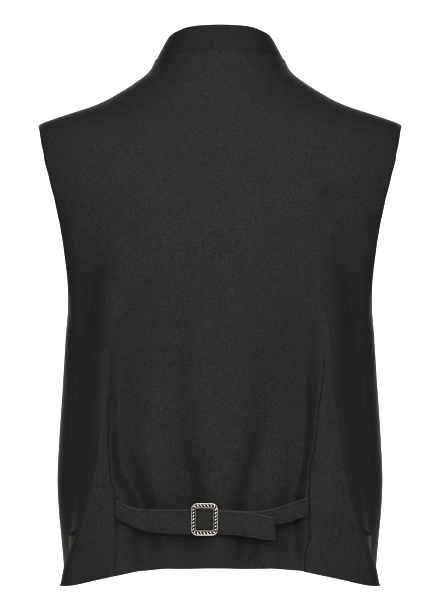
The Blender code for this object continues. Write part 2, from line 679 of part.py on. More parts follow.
def short_strap_points():
    """The short strap runs from its dart over the centre bar, turns round it and comes back under."""
    cloth = 0.0016
    centre = BUCKLE_CENTRE[0]
    run = np.concatenate([np.linspace(-0.1030, -0.012, 14), np.linspace(-0.007, centre, 6)])
    lift = read(SHORT_STRAP, "lift", run, "across")
    inner, outer = strap_face(SHORT_STRAP, run, lift, cloth)
    heights = inner[:, -1, 2]
    base = inner[:, -1, 1] - lift[-1]
    bend = (lift[-1] - PRONG_LIFT)
    quarter = np.radians(np.linspace(0, 180, 9))[1:]
    fold_inner = [np.stack([centre + bend * np.sin(a) + 0 * base, base + PRONG_LIFT + bend * np.cos(a),
                            heights], axis=-1) for a in quarter]
    wide = bend + cloth
    fold_outer = [np.stack([centre + wide * np.sin(a) + 0 * base, base + PRONG_LIFT + wide * np.cos(a),
                            heights], axis=-1) for a in quarter]
    back = np.linspace(centre - 0.004, centre - 0.018, 4)
    under = PRONG_LIFT - bend
    sink = np.linspace(0.0, 0.0004, 4)
    tail_inner = [np.stack([x + 0 * base, base + under - s, heights], axis=-1) for x, s in zip(back, sink)]
    tail_outer = [np.stack([x + 0 * base, base + under - s - cloth, heights], axis=-1)
                  for x, s in zip(back, sink)]
    inner = np.concatenate([inner, np.stack(fold_inner + tail_inner, axis=1)], axis=1)
    outer = np.concatenate([outer, np.stack(fold_outer + tail_outer, axis=1)], axis=1)
    return outer, inner


def curve_object(name, points, radius, closed, finish, sides):
    data = bpy.data.curves.new(name, "CURVE")
    data.dimensions = "3D"
    data.bevel_depth = radius
    data.bevel_resolution = sides
    data.use_fill_caps = not closed
    spline = data.splines.new("POLY")
    spline.points.add(len(points) - 1)
    for point, place in zip(spline.points, points):
        point.co = (*place, 1.0)
    spline.use_cyclic_u = closed
    data.materials.append(finish)
    made = bpy.data.objects.new(name, data)
    bpy.context.collection.objects.link(made)
    return made


def buckle(finish):
    """A rounded frame with a centre bar behind it, bent forward into its two end bars."""
    across, height = BUCKLE_CENTRE
    reach = read(SECTIONS, "back_depth", height)
    half_x, half_z = BUCKLE_HALF
    loop = []
    for sign_x, sign_z, start in ((1, 1, 0), (-1, 1, 90), (-1, -1, 180), (1, -1, 270)):
        for step in range(6):
            angle = math.radians(start + 90 * step / 5)
            loop.append((sign_x * (half_x - BUCKLE_CORNER) + BUCKLE_CORNER * math.cos(angle),
                         sign_z * (half_z - BUCKLE_CORNER) + BUCKLE_CORNER * math.sin(angle), 0))
    frame = curve_object("buckle", loop, BUCKLE_BAR_HALF_WIDTH, True, finish, 3)
    frame.scale = (1, 1, BUCKLE_BAR_HALF_THICKNESS / BUCKLE_BAR_HALF_WIDTH)
    frame.rotation_euler = (math.radians(90), 0, math.radians(180))
    frame.location = (across, reach + BUCKLE_LIFT, height)
    drop = BUCKLE_LIFT - PRONG_LIFT
    leg = half_z - 0.0006
    bend = 0.0020
    path = [(across, reach + BUCKLE_LIFT, height + leg)]
    for step in range(5):
        angle = math.radians(90 * step / 4)
        path.append((across, reach + BUCKLE_LIFT - drop + bend * (1 - math.sin(angle)),
                     height + leg - bend * (1 - math.cos(angle))))
    path += [(x, y, 2 * height - z) for x, y, z in reversed(path)]
    bar = curve_object("buckle_bar", path, PRONG_RADIUS, False, finish, 2)
    bpy.context.view_layer.update()
    solids = []
    for made in (frame, bar):
        mesh = bpy.data.meshes.new_from_object(made.evaluated_get(bpy.context.evaluated_depsgraph_get()))
        mesh.transform(made.matrix_world)
        name = made.name
        bpy.data.objects.remove(made, do_unlink=True)
        bm = bmesh.new()
        bm.from_mesh(mesh)
        bmesh.ops.remove_doubles(bm, verts=bm.verts[:], dist=1e-6)
        solids.append(add_object(name, bm, finish))
    body_of, cutter = solids
    cutter.hide_render = True
    cutter.display_type = "WIRE"
    join = body_of.modifiers.new("centre bar", "BOOLEAN")
    join.operation = "UNION"
    join.object = cutter
    return body_of


def vent_facing(side, finish):
    """A narrow strip on the front beside its vent, under the back's free edge."""
    turns, heights, steps = (part[:FACING_ROWS, 1:len(FACING_SHARES) + 1] for part in front_half(side))
    inner, _ = wall_points(turns, heights, steps=steps + SEAM_GAP)
    outer, _ = wall_points(turns, heights, steps=steps + SEAM_GAP + FACING_THICKNESS)
    return add_wall(f"vent_facing_{side}", outer, inner, finish)


def button(number, finish):
    """A plain domed button on the left front's outer face, at the centre front."""
    height = BUTTON_TOP - BUTTON_STEP * number
    seat = body(np.array([math.pi]), np.array([height]))[0]
    normal = outward(np.array([math.pi]), np.array([height]))[0]
    bm = bmesh.new()
    rim = 0.0012
    profile = [(0, 0), (BUTTON_RADIUS * 0.86, 0), (BUTTON_RADIUS, rim * 0.6), (BUTTON_RADIUS * 0.97, rim * 1.5)]
    for step in range(1, 5):
        angle = math.radians(90 * step / 4)
        profile.append((BUTTON_RADIUS * 0.97 * math.cos(angle),
                        rim * 1.5 + (BUTTON_HEIGHT - rim * 1.5) * math.sin(angle)))
    points = [bm.verts.new((radius, 0, rise)) for radius, rise in profile]
    edges = [bm.edges.new(pair) for pair in zip(points, points[1:])]
    bmesh.ops.spin(bm, geom=points + edges, cent=(0, 0, 0), axis=(0, 0, 1), angle=2 * math.pi,
                   steps=18, use_merge=True)
    bmesh.ops.remove_doubles(bm, verts=bm.verts[:], dist=1e-6)
    made = add_object(f"button_{number + 1}", bm, finish)
    tilt = math.atan2(normal[2], -normal[1])
    made.rotation_euler = (math.radians(90) - tilt, 0, 0)
    made.location = seat + normal * (SEAM_GAP + 0.0002)
    return made


def main():
    clear_scene()
    wool = material("wool", (0.028, 0.026, 0.024), 0.95)
    trim = material("trim", (0.045, 0.055, 0.040), 0.85)
    silver = material("antique_silver", (0.42, 0.40, 0.37), 0.38, 1.0)
    add_wall("back", *back_points(), wool)
    for side in ("left", "right"):
        add_wall(f"front_{side}", *front_points(side), wool)
        vent_facing(side, trim)
    add_wall("collar", *collar_points(COLLAR_ROW_SHARES)[:2], wool)
    add_wall("collar_facing", *collar_facing_points(), trim)
    add_wall("belt_long", *long_strap_points(), wool)
    add_wall("belt_short", *short_strap_points(), wool)
    buckle(silver)
    for number in range(BUTTON_COUNT):
        button(number, silver)


main()
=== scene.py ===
"""Looks of a sleeveless folk vest with a stand collar, a lapped front and a buckled half-belt.

Metres, +Z up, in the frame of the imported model: the fronts face -Y, the back faces +Y, the wearer's
left is +X and the origin is the middle of the neck. Angles run round the body from the centre back
(0) over the wearer's left side (90 degrees) to the centre front (180).
"""

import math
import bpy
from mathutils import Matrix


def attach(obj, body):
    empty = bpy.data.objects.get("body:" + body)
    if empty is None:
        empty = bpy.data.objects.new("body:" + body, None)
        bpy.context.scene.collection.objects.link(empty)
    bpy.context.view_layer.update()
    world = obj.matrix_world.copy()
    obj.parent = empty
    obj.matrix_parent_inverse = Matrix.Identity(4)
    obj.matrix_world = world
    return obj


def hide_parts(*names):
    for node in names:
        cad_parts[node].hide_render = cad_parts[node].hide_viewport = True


bl_info = {
    "name": "Folk vest looks",
    "version": (1, 0, 0),
    "blender": (4, 5, 0),
    "location": "3D View > Sidebar > Vest",
    "description": "Builds the cloth, metal and stage of a folk vest round its packed frame",
    "category": "Object",
}

import bmesh
import bpy
import numpy as np
from bpy.props import FloatProperty, FloatVectorProperty, PointerProperty
from mathutils import Matrix, Vector

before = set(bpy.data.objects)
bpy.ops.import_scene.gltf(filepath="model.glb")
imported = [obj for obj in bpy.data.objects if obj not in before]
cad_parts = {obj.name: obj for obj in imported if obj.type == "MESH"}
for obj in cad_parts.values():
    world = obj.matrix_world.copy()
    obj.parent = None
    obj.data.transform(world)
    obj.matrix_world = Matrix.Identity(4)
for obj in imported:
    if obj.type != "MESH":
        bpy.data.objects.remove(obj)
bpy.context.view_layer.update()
BODY = "root"

# ---------------------------------------------------------------- driving sizes
CLOTH = 0.0022                 # loden cloth with its facing
COLLAR_CLOTH = 0.0028          # two layers and the interfacing
STRAP_CLOTH = 0.0018
SHORT_STRAP_CLOTH = 0.0016
FACING_THICKNESS = 0.0008
SEAM_GAP = 0.0003
EDGE_INSET = 0.6 * SEAM_GAP    # how far a panel's edge keeps back from its seam

SHOULDER_SLOPE_TOP = 0.0144    # neck point, at the side of the neck
NECK_BACK = 0.0206
NECK_FRONT = -0.058
SHOULDER_TIP = -0.0648
UNDERARM = -0.2856
VENT_TOP = -0.545
BELOW_VENT = VENT_TOP - 1e-6   # rows lower than this have a free edge
HEM_BACK = -0.5858             # at the centre back
HEM_CORNER = -0.6146           # the back's hem drops to its two corners
HEM_FRONT = -0.600
HEM_LEVEL = 0.060              # the back's hem is level this far from the centre
HEM_DROP_WIDTH = 0.128         # and drops to its corners over this width
HEM_DROP_POWER = 1.45

FRONT_LAP = 0.018              # each front passes the centre by this much
LAP_STEP = CLOTH + SEAM_GAP + 0.0002
LAP_BLEND = (0.022, 0.046)     # the under front rises from the lap between these, across
LAP_FROM = 2.0                 # in radians: the lap lies past this angle
UNDERLAP = 0.012               # the front's edge lies this far under the back at the vent
UNDERLAP_STEP = 0.0036
NOTCH = 0.003                  # clears the seam's end where the underlap starts
VENT_ACROSS = 0.168            # where the vent opens, from the centre
VENT_TUCK = (0.002, 0.014)     # past the vent the front's edge comes out between these distances
BESIDE_TUCK = (0.025, 0.075)   # and the cloth beside it between these
TUCK_DROP = 0.050              # which is reached this far below the vent's top
FLAP_LIFT = 0.0075             # the back's hem corner stands off the front
FLAP_BLEND = (0.004, 0.045)    # and settles between these distances from its edge

DART_HALF_WIDTH = 0.0035
COLLAR_HALF_GAP = 0.0012       # the collar's ends meet at the centre front

BUTTON_RADIUS = 0.0080
BUTTON_HEIGHT = 0.0050
BUTTON_TOP = -0.078
BUTTON_STEP = 0.084
BUTTON_COUNT = 6
BUTTON_SEAT = 0.0002           # its back stands off the cloth by this and the seams' gap
BUTTON_RIM = (                 # radius and rise, from the middle of its underside to the dome
    (0.0, 0.0), (0.0060, 0.0), (0.0074, 0.0003), (0.0079, 0.0007), (BUTTON_RADIUS, 0.0012),
    (0.0078, 0.0017), (0.0073, 0.0019), (0.0068, 0.0016), (0.0063, 0.0013), (0.0058, 0.0016),
)
DOME_RADIUS = 0.0055
DOME_FOOT = 0.0020
RING_RADIUS = 0.0063           # the twisted ring in the groove round the dome
RING_RISE = 0.00175
RING_SWING = 0.00022
RING_STRAND = 0.00030
RING_TWISTS = 18
GROOVE_HALF_WIDTH = 0.0008     # the metal in the groove stays dark, up to this height
GROOVE_TOP = 0.0017
BUTTON_WEAR = (0.36, 0.62, 0.62)    # of the button and of its ring's two strands

BUCKLE_CENTRE = (0.0179, -0.528)    # across, height
BUCKLE_HALF = (0.0129, 0.0158)      # to the middle of its side and end bars
BUCKLE_CORNER = 0.0045
BUCKLE_BAR_HALF_WIDTH = 0.0032
BUCKLE_BAR_HALF_THICKNESS = 0.0015
BUCKLE_LIFT = 0.0096                # middle of the frame above the back
PRONG_LIFT = 0.0044                 # centre bar above the back
PRONG_RADIUS = 0.0010
PRONG_BEND = 0.0020                 # how tightly it bends forward into the end bars
PRONG_INSET = 0.0006                # how far inside their middle it meets them

# ---------------------------------------------------------------- sizes of the looks
SEAM_CLOSE = 0.0004            # the back's edge meets the front's inside the seams
TIP_REACH = 0.2168             # the shoulder tips end square, this far from the middle
SEAM_ROLL = 0.0002             # how far the cloth dips into the side and shoulder seams
SEAM_ROLL_WIDTH = 0.0016
ALLOWANCE_RISE = 0.0003        # what the pressed allowance under it lifts the cloth
ALLOWANCE_END = (0.008, 0.0115)     # it ends between these distances from the seam
EDGE_RISE = 0.0003             # what a turned edge or facing lifts it
TURNING_END = (0.006, 0.010)
NECK_RIDGE = 0.0007            # the pressed ridge below the neck seam
NECK_RIDGE_PLACE = 0.0022
NECK_RIDGE_WIDTH = 0.0018
CREASE_IN = (-0.25, 0.3)       # shares of its length over which a crease fades in and out
CREASE_OUT = (0.7, 1.25)
CREST_EDGE = 0.0009            # a crease stands along the crest of the drape fold
CREST_SPREAD = 0.0032
CREST_SPAN = (0.235, 0.300)    # it fades in between these depths below the neck
DART_GROOVE = 0.0019
DART_GROOVE_WIDTH = 0.0012
DART_LIP = 0.0007
LIP_PLACE = 0.0032             # from the dart's middle
LIP_WIDTH = 0.0022
INNER_LIP = 0.3                # share of the lip that stands on the dart's inner side
DART_FADE = 0.030              # the groove fades out over this length at the dart's top
DIMPLE = 0.0014                # the pucker at the dart's top
DIMPLE_WIDTH = 0.010

COLLAR_TUCK = 0.0001           # the collar's foot closes on the neck's edge
COLLAR_BOW = 0.35              # how strongly it follows the body's slope at its foot
COLLAR_PILLOW = 0.0004         # its soft swell, and how flat that is in the middle
COLLAR_PILLOW_POWER = 0.7
COLLAR_TOP_ROLL = 0.0003
COLLAR_TOP_WIDTH = 0.0030
COLLAR_PAINTED_SHADE = 0.90              # the collar's wool colours are scaled darker by this: painted shade
FACING_FOOT = 0.08             # share of its height at which its facing starts
FACING_PROUD = 0.0026          # the facing stands this far past its inner top edge

STRAP_ROLL = 0.0009            # the straps' edges round off by this much
STRAP_ROLL_WIDTH = 0.0011
STRAP_PUFF = 0.00035           # and swell between the edge and the stitching
STRAP_PUFF_SPAN = (0.0, 0.0014)
STITCH_INSET = 0.0030
STITCH_DIP = 1.3 * STRAP_PUFF  # the stitching draws the cloth in
STITCH_DIP_WIDTH = 0.0007
LONG_STRAP_END = -0.0644
LONG_STITCHES = (-0.0614, 0.1190)   # from the free end's cross stitching to the dart
SHORT_STITCHES = (-0.1010, -0.0640)
SHORT_STRAP_FLAT = (-0.020, 0.0)    # under the long strap it lies flat past these, across
STRAP_TAIL = (0.004, 0.018)    # its folded end lies between these, from the centre bar
TOP_WEAR_AND_HIGHLIGHT = 0.65                # how pale the straps' top and bottom edges are made: wear, and a painted highlight that makes the top edge paler than the bottom one
BOTTOM_WEAR_AND_HIGHLIGHT = 0.18
WEAR_AND_HIGHLIGHT_WIDTH = 0.0012
THREAD_RADIUS = 0.00022

BUCKLE_STEPS = 320
BUCKLE_PLATE = np.array((      # the sunk frame's section: sideways, outwards
    (BUCKLE_BAR_HALF_WIDTH, -0.0001), (0.0028, 0.0001),
    (-0.0028, 0.0001), (-BUCKLE_BAR_HALF_WIDTH, -0.0001),
    (-BUCKLE_BAR_HALF_WIDTH, -0.0009), (-0.0024, -BUCKLE_BAR_HALF_THICKNESS),
    (0.0024, -BUCKLE_BAR_HALF_THICKNESS), (BUCKLE_BAR_HALF_WIDTH, -0.0009),
))
RIM_RADIUS = 0.00060           # the buckle's outer rim
RIM_RISE = 0.0007
INNER_RIM_RADIUS = 0.00042
INNER_RIM_RISE = 0.0006
RIM_INSET = 0.00035            # the rims keep in from the plate's edge by this, so its dark oxidised flank shows as an outline round them; the outline is also a painted shadow round the buckle
STRAND_RADIUS = 0.00074        # the rope worked round it
STRAND_SWING = 0.00145
STRAND_RISE = 0.0016
STRAND_SINK = 0.0004           # so that only each turn's front half shows
ROPE_TURNS = 28
RIM_WEAR, INNER_RIM_WEAR, ROPE_WEAR, BAR_WEAR = 0.50, 0.42, 1.0, 0.5

HOLE_SPAN = (-0.003, 0.019)    # a buttonhole's straight edges, across
HOLE_HALF_WIDTH = 0.0011
HOLE_THREAD = 0.00072
HOLE_LIFT = 0.0003
HOLE_RIBS = 0.16               # how strongly its stitches stand out
HOLE_STEPS = 168
WOOL_SHEEN = 0.012
THREAD_SHEEN = 0.02
SEAMED_ROLL = 0.3              # share of the edge roll on the collar and the facings
STRAP_EDGE_ROLL = 0.4          # and on the straps

FLOOR_RADIUS = 3.0
FLOOR_HEIGHT = -1.45
FLOOR_COLOUR = (0.82, 0.82, 0.81, 1)
WHITE = (1, 1, 1, 1)
SENSOR_HEIGHT = 36.0           # millimetres
CAMERA_DISTANCE = 3.5
CAMERA_ACROSS = -0.0006
CAMERA_HEIGHT = -0.282
PICTURE_HEIGHT = 0.7368        # height of the view at the origin
AMBIENT = 0.03
AIM = (0.0, 0.0, -0.28)
LIGHTS = (                     # name, place, aim, size, share of the key light's power
    ("key light", (0.0, 2.80, 0.55), AIM, 3.2, 1.0),
    ("top light", (0.0, 1.30, 2.40), AIM, 1.6, 0.26),
    ("left fill", (1.80, -2.80, 0.30), AIM, 1.4, 0.75),
    ("right fill", (-1.80, -2.80, 0.30), AIM, 1.4, 0.75),
    ("front light", (0.0, -2.80, 0.60), AIM, 3.5, 0.60),
)

GIRTH_RADIUS = 0.17            # turns an angle into a rough distance along the cloth


# ---------------------------------------------------------------- tables
def table(names, *rows):
    """Rows of numbers with named columns. The first column rises from row to row."""
    return dict(zip(names.split(), np.array(rows).T))


SECTIONS = table(
    "height half_width back_depth front_depth back_square front_square",
    (-0.640, 0.1850, 0.120, 0.120, 2.70, 2.60),
    (-0.600, 0.1876, 0.118, 0.120, 2.70, 2.60),
    (-0.562, 0.1907, 0.115, 0.122, 2.70, 2.60),
    (-0.525, 0.1936, 0.112, 0.124, 2.70, 2.60),
    (-0.490, 0.1949, 0.109, 0.125, 2.70, 2.60),
    (-0.440, 0.1930, 0.107, 0.125, 2.65, 2.55),
    (-0.380, 0.1896, 0.108, 0.124, 2.60, 2.50),
    (-0.320, 0.1853, 0.111, 0.122, 2.55, 2.50),
    (-0.3000, 0.1833, 0.112, 0.1205, 2.55, 2.50),
    (-0.2856, 0.1823, 0.113, 0.1195, 2.55, 2.50),
    (-0.2736, 0.1826, 0.114, 0.119, 2.55, 2.50),
    (-0.2616, 0.1846, 0.1148, 0.118, 2.55, 2.50),
    (-0.2496, 0.1874, 0.1155, 0.117, 2.55, 2.50),
    (-0.2256, 0.1946, 0.1165, 0.114, 2.55, 2.50),
    (-0.2016, 0.2023, 0.1168, 0.110, 2.50, 2.50),
    (-0.1776, 0.2105, 0.1160, 0.105, 2.50, 2.50),
    (-0.1536, 0.2200, 0.1140, 0.098, 2.45, 2.45),
    (-0.1296, 0.2297, 0.1108, 0.089, 2.40, 2.40),
    (-0.1056, 0.2366, 0.1060, 0.078, 2.35, 2.35),
    (-0.0936, 0.2368, 0.1031, 0.0715, 2.33, 2.33),
    (-0.0816, 0.2332, 0.1000, 0.065, 2.30, 2.30),
    (-0.0720, 0.2263, 0.0971, 0.0590, 2.27, 2.27),
    (-0.0648, 0.2180, 0.0948, 0.055, 2.25, 2.25),
    (-0.0612, 0.2115, 0.0937, 0.0535, 2.22, 2.22),
    (-0.0576, 0.2015, 0.0925, 0.0520, 2.20, 2.20),
    (-0.0504, 0.1799, 0.0900, 0.0497, 2.20, 2.20),
    (-0.0432, 0.1576, 0.0875, 0.0482, 2.15, 2.15),
    (-0.0360, 0.1397, 0.0850, 0.0472, 2.15, 2.15),
    (-0.0288, 0.1264, 0.0825, 0.0462, 2.10, 2.10),
    (-0.0144, 0.1030, 0.0772, 0.0450, 2.10, 2.10),
    (0.0000, 0.0851, 0.0718, 0.0445, 2.05, 2.05),
    (0.0144, 0.0764, 0.0668, 0.0440, 2.00, 2.00),
    (0.0300, 0.0690, 0.0620, 0.0435, 2.00, 2.00),
)

# How far behind (+) or before (-) the middle the side seam and the armhole's edges lie.
SIDE_SEAM = table(
    "height behind",
    (VENT_TOP, 0.0735),
    (-0.480, 0.062),
    (-0.400, 0.045),
    (-0.330, 0.025),
    (UNDERARM, 0.000),
)
ARMHOLE = table(
    "height back_edge front_edge",
    (UNDERARM, 0.000, 0.000),
    (-0.2826, 0.0150, -0.017),
    (-0.2736, 0.0250, -0.030),
    (-0.2616, 0.0360, -0.043),
    (-0.2496, 0.0440, -0.053),
    (-0.2256, 0.0545, -0.066),
    (-0.2016, 0.0600, -0.071),
    (-0.1776, 0.0637, -0.073),
    (-0.1536, 0.0650, -0.070),
    (-0.1296, 0.0642, -0.063),
    (-0.1056, 0.0603, -0.051),
    (-0.0936, 0.0563, -0.045),
    (-0.0816, 0.0489, -0.038),
    (-0.0740, 0.0405, -0.032),
    (-0.0690, 0.0300, -0.0245),
    (SHOULDER_TIP, 0.000, 0.000),
    (0.030, 0.000, 0.000),
)

# The back's free edge below the vent, measured across.
FLAP_EDGE = table(
    "height across lift",
    (-0.6160, 0.1845, 1.00),
    (-0.6106, 0.1815, 0.95),
    (-0.5860, 0.1785, 0.70),
    (-0.5710, 0.1745, 0.50),
    (-0.5600, 0.1710, 0.30),
    (-0.5500, 0.1690, 0.06),
    (VENT_TOP, 0.1680, 0.00),
)

DARTS = table(
    "height left right",
    (-0.620, 0.1245, 0.0990),
    (-0.585, 0.1240, 0.0998),
    (-0.5526, 0.1228, 0.1037),
    (-0.528, 0.1220, 0.1044),
    (-0.504, 0.1220, 0.1029),
    (-0.480, 0.1260, 0.1044),
    (-0.439, 0.1310, 0.1113),
    (-0.400, 0.1290, 0.1145),
    (-0.360, 0.1240, 0.1190),
    (-0.3215, 0.1225, 0.1215),
)
DART_TOP = {"left": -0.405, "right": -0.3215}

# Drape folds: across is the distance from the centre, rise is how far the cloth stands out (+)
# or falls in (-), inner and outer are the fold's half widths towards the centre and the side.
CREST = table(
    "height across rise inner outer",
    (-0.600, 0.176, 0.0010, 0.020, 0.014),
    (-0.545, 0.164, 0.0034, 0.022, 0.016),
    (-0.505, 0.152, 0.0068, 0.024, 0.022),
    (-0.465, 0.144, 0.0078, 0.024, 0.030),
    (-0.420, 0.137, 0.0078, 0.024, 0.034),
    (-0.360, 0.130, 0.0076, 0.024, 0.030),
    (-0.310, 0.126, 0.0064, 0.025, 0.027),
    (-0.260, 0.114, 0.0040, 0.027, 0.030),
    (-0.200, 0.110, 0.0016, 0.030, 0.028),
    (-0.150, 0.108, 0.0000, 0.030, 0.025),
)
HOLLOW = table(
    "height across rise inner outer",
    (-0.600, 0.185, -0.0010, 0.016, 0.030),
    (-0.545, 0.182, -0.0056, 0.020, 0.032),
    (-0.505, 0.176, -0.0060, 0.022, 0.030),
    (-0.470, 0.170, -0.0066, 0.024, 0.030),
    (-0.437, 0.172, -0.0092, 0.034, 0.033),
    (-0.390, 0.173, -0.0120, 0.039, 0.035),
    (-0.332, 0.169, -0.0106, 0.036, 0.031),
    (-0.273, 0.159, -0.0070, 0.022, 0.021),
    (-0.200, 0.146, -0.0036, 0.022, 0.020),
    (-0.140, 0.138, 0.0000, 0.028, 0.022),
)
OUTER_VALLEY = table(
    "height across lean rise inner outer",
    (-0.600, 0.088, 0.000, -0.0110, 0.022, 0.012),
    (-0.560, 0.089, 0.002, -0.0180, 0.022, 0.010),
    (-0.525, 0.090, 0.004, -0.0200, 0.020, 0.008),
    (-0.505, 0.094, 0.006, -0.0200, 0.020, 0.007),
    (-0.485, 0.104, 0.009, -0.0215, 0.024, 0.006),
    (-0.455, 0.112, 0.011, -0.0225, 0.028, 0.006),
    (-0.420, 0.114, 0.010, -0.0215, 0.029, 0.007),
    (-0.360, 0.112, 0.009, -0.0180, 0.029, 0.009),
    (-0.300, 0.107, 0.004, -0.0100, 0.028, 0.012),
    (-0.250, 0.102, 0.002, -0.0032, 0.026, 0.018),
    (-0.210, 0.100, 0.000, 0.0000, 0.024, 0.018),
)
INNER_VALLEY = table(
    "height across lean rise inner outer",
    (-0.600, 0.038, 0.006, -0.0085, 0.024, 0.020),
    (-0.560, 0.038, 0.006, -0.0145, 0.021, 0.022),
    (-0.515, 0.037, 0.002, -0.0182, 0.017, 0.025),
    (-0.485, 0.040, 0.000, -0.0184, 0.017, 0.027),
    (-0.455, 0.048, 0.000, -0.0172, 0.018, 0.028),
    (-0.430, 0.053, 0.000, -0.0146, 0.019, 0.028),
    (-0.400, 0.056, 0.000, -0.0120, 0.020, 0.028),
    (-0.360, 0.057, 0.000, -0.0096, 0.021, 0.028),
    (-0.300, 0.051, 0.000, -0.0055, 0.021, 0.028),
    (-0.250, 0.046, 0.000, -0.0020, 0.022, 0.026),
    (-0.210, 0.046, 0.000, 0.0000, 0.022, 0.026),
)
FRONT_FOLD = table(
    "height across rise inner outer",
    (-0.600, 0.132, -0.0050, 0.026, 0.022),
    (-0.480, 0.134, -0.0070, 0.026, 0.022),
    (-0.360, 0.138, -0.0055, 0.026, 0.022),
    (-0.260, 0.142, -0.0020, 0.028, 0.024),
    (-0.200, 0.142, 0.0000, 0.028, 0.024),
)
BACK_FOLDS = (CREST, HOLLOW, OUTER_VALLEY, INNER_VALLEY)

# The collar's top edge, by degrees round from the centre back.
COLLAR_TOP = table(
    "turn height radius",
    (0, 0.0519, 0.0500),
    (30, 0.0509, 0.0540),
    (45, 0.0492, 0.0578),
    (60, 0.0457, 0.0610),
    (75, 0.0417, 0.0628),
    (90, 0.0372, 0.0632),
    (110, 0.0247, 0.0605),
    (130, 0.0062, 0.0545),
    (150, -0.0133, 0.0490),
    (165, -0.0233, 0.0462),
    (180, -0.0268, 0.0455),
)

# The two belt straps, from the buckle's free side on the wearer's right to the left dart.
# lift is the gap between the strap's inner face and the unfolded back.
LONG_STRAP = table(
    "across top bottom lift",
    (-0.0644, -0.5262, -0.5532, 0.0040),
    (-0.0560, -0.5245, -0.5525, 0.0038),
    (-0.0487, -0.5230, -0.5516, 0.0038),
    (-0.0348, -0.5203, -0.5490, 0.0040),
    (-0.0180, -0.5190, -0.5470, 0.0044),
    (0.0000, -0.5173, -0.5458, 0.0056),
    (0.0060, -0.5168, -0.5425, 0.0061),
    (0.0110, -0.5160, -0.5402, 0.0070),
    (0.0179, -0.5157, -0.5399, 0.0078),
    (0.0248, -0.5160, -0.5402, 0.0068),
    (0.0300, -0.5166, -0.5425, 0.0057),
    (0.0360, -0.5167, -0.5458, 0.0052),
    (0.0580, -0.5167, -0.5452, 0.0042),
    (0.0800, -0.5170, -0.5435, 0.0034),
    (0.0960, -0.5160, -0.5400, 0.0028),
    (0.1080, -0.5130, -0.5345, 0.0024),
    (0.1160, -0.5095, -0.5303, 0.0021),
    (0.1214, -0.5065, -0.5280, 0.0018),
)
SHORT_STRAP = table(
    "across top bottom lift",
    (-0.1030, -0.5033, -0.5250, 0.0018),
    (-0.0960, -0.5055, -0.5270, 0.0016),
    (-0.0860, -0.5086, -0.5300, 0.0014),
    (-0.0761, -0.5120, -0.5330, 0.0012),
    (-0.0620, -0.5160, -0.5360, 0.0012),
    (-0.0400, -0.5190, -0.5395, 0.0014),
    (-0.0150, -0.5180, -0.5398, 0.0024),
    (0.0060, -0.5165, -0.5394, 0.0039),
    (0.0179, -0.5160, -0.5390, 0.0057),
)

# Soft creases: each runs from one place to another, as degrees round the body and
# heights. rise is out (+) or in (-), and width is its half width across.
CREASES = (
    # start deg, start height, end deg, end height, rise, width
    (62, -0.150, 40, -0.215, -0.0022, 0.020),
    (-60, -0.140, -38, -0.220, -0.0024, 0.018),
    (30, -0.095, 12, -0.180, -0.0010, 0.022),
    (-36, -0.610, 36, -0.610, -0.0115, 0.036),
    (50, -0.528, 44, -0.562, -0.0060, 0.012),
    (-17, -0.545, -15.5, -0.575, -0.0075, 0.011),
    (50, -0.566, 22, -0.570, -0.0055, 0.017),
    (-46, -0.530, -43, -0.556, -0.0040, 0.010),
    (-28, -0.090, -10, -0.170, -0.0009, 0.024),
    (100, -0.300, 128, -0.420, -0.0022, 0.020),
    (-101, -0.310, -130, -0.400, -0.0020, 0.022),
    (118, -0.200, 150, -0.285, -0.0016, 0.018),
    (-116, -0.190, -148, -0.300, -0.0017, 0.020),
    (98, -0.420, 112, -0.560, 0.0016, 0.018),
    (-96, -0.400, -114, -0.570, 0.0015, 0.020),
)


def read(data, name, at, key="height"):
    """A smooth curve through one column of a table. It never swings past its rows."""
    x, y = data[key], data[name]
    steps = np.diff(x)
    slopes = np.diff(y) / steps
    tangents = np.zeros_like(y)
    product = slopes[:-1] * slopes[1:]
    same = product > 0
    tangents[1:-1][same] = 2 * product[same] / (slopes[:-1] + slopes[1:])[same]
    tangents[0], tangents[-1] = slopes[0], slopes[-1]
    at = np.clip(at, x[0], x[-1])
    row = np.clip(np.searchsorted(x, at) - 1, 0, len(x) - 2)
    t = (at - x[row]) / steps[row]
    return (
        y[row] * (1 + 2 * t) * (1 - t) ** 2
        + y[row + 1] * t * t * (3 - 2 * t)
        + steps[row] * (tangents[row] * t * (1 - t) ** 2 - tangents[row + 1] * t * t * (1 - t))
    )


def ramp(value, start, end):
    """0 before start, 1 after end, smooth between."""
    t = np.clip((value - start) / (end - start), 0, 1)
    return t * t * (3 - 2 * t)


def bell(off, width):
    """1 in the middle, falling away smoothly on both sides to 0.37 at this width."""
    return np.exp(-((off / width) ** 2))


def between(low, high, share):
    """The value at this share of the way from low to high."""
    return (1 - share) * low + share * high


def bunched(share):
    """Shares of the way, moved closer together at both ends."""
    return 0.5 * share + 0.25 * (1 - np.cos(share * math.pi))


def unit(vectors):
    """The same directions, each of length 1."""
    return vectors / np.linalg.norm(vectors, axis=-1, keepdims=True)


def starts_of(lengths):
    """Where each length starts when they are laid end to end, and where the last one ends."""
    return np.concatenate([[0], np.cumsum(lengths)])


def lengths_along(points):
    """The length of each step along a line of places."""
    return np.linalg.norm(np.diff(points, axis=0), axis=1)


# ---------------------------------------------------------------- the body surface
def section(height, behind):
    """Half width, depth and squareness of the rounded section at a height."""
    depth, square = (np.where(behind, read(SECTIONS, f"back_{size}", height),
                              read(SECTIONS, f"front_{size}", height))
                     for size in ("depth", "square"))
    return read(SECTIONS, "half_width", height), depth, square


def reach_at(share, size, square):
    """How far the section reaches one way, at this share of its reach the other way."""
    return size * (1 - share**square) ** (1 / square)


def rounded(turn, height):
    """The section at an angle: its radius, its place across and behind, and the section's sizes."""
    sine, cosine = np.sin(turn), np.cos(turn)
    half_width, depth, square = section(height, cosine > 0)
    radius = ((np.abs(sine) / half_width) ** square
              + (np.abs(cosine) / depth) ** square) ** (-1 / square)
    return radius, radius * sine, radius * cosine, half_width, depth, square


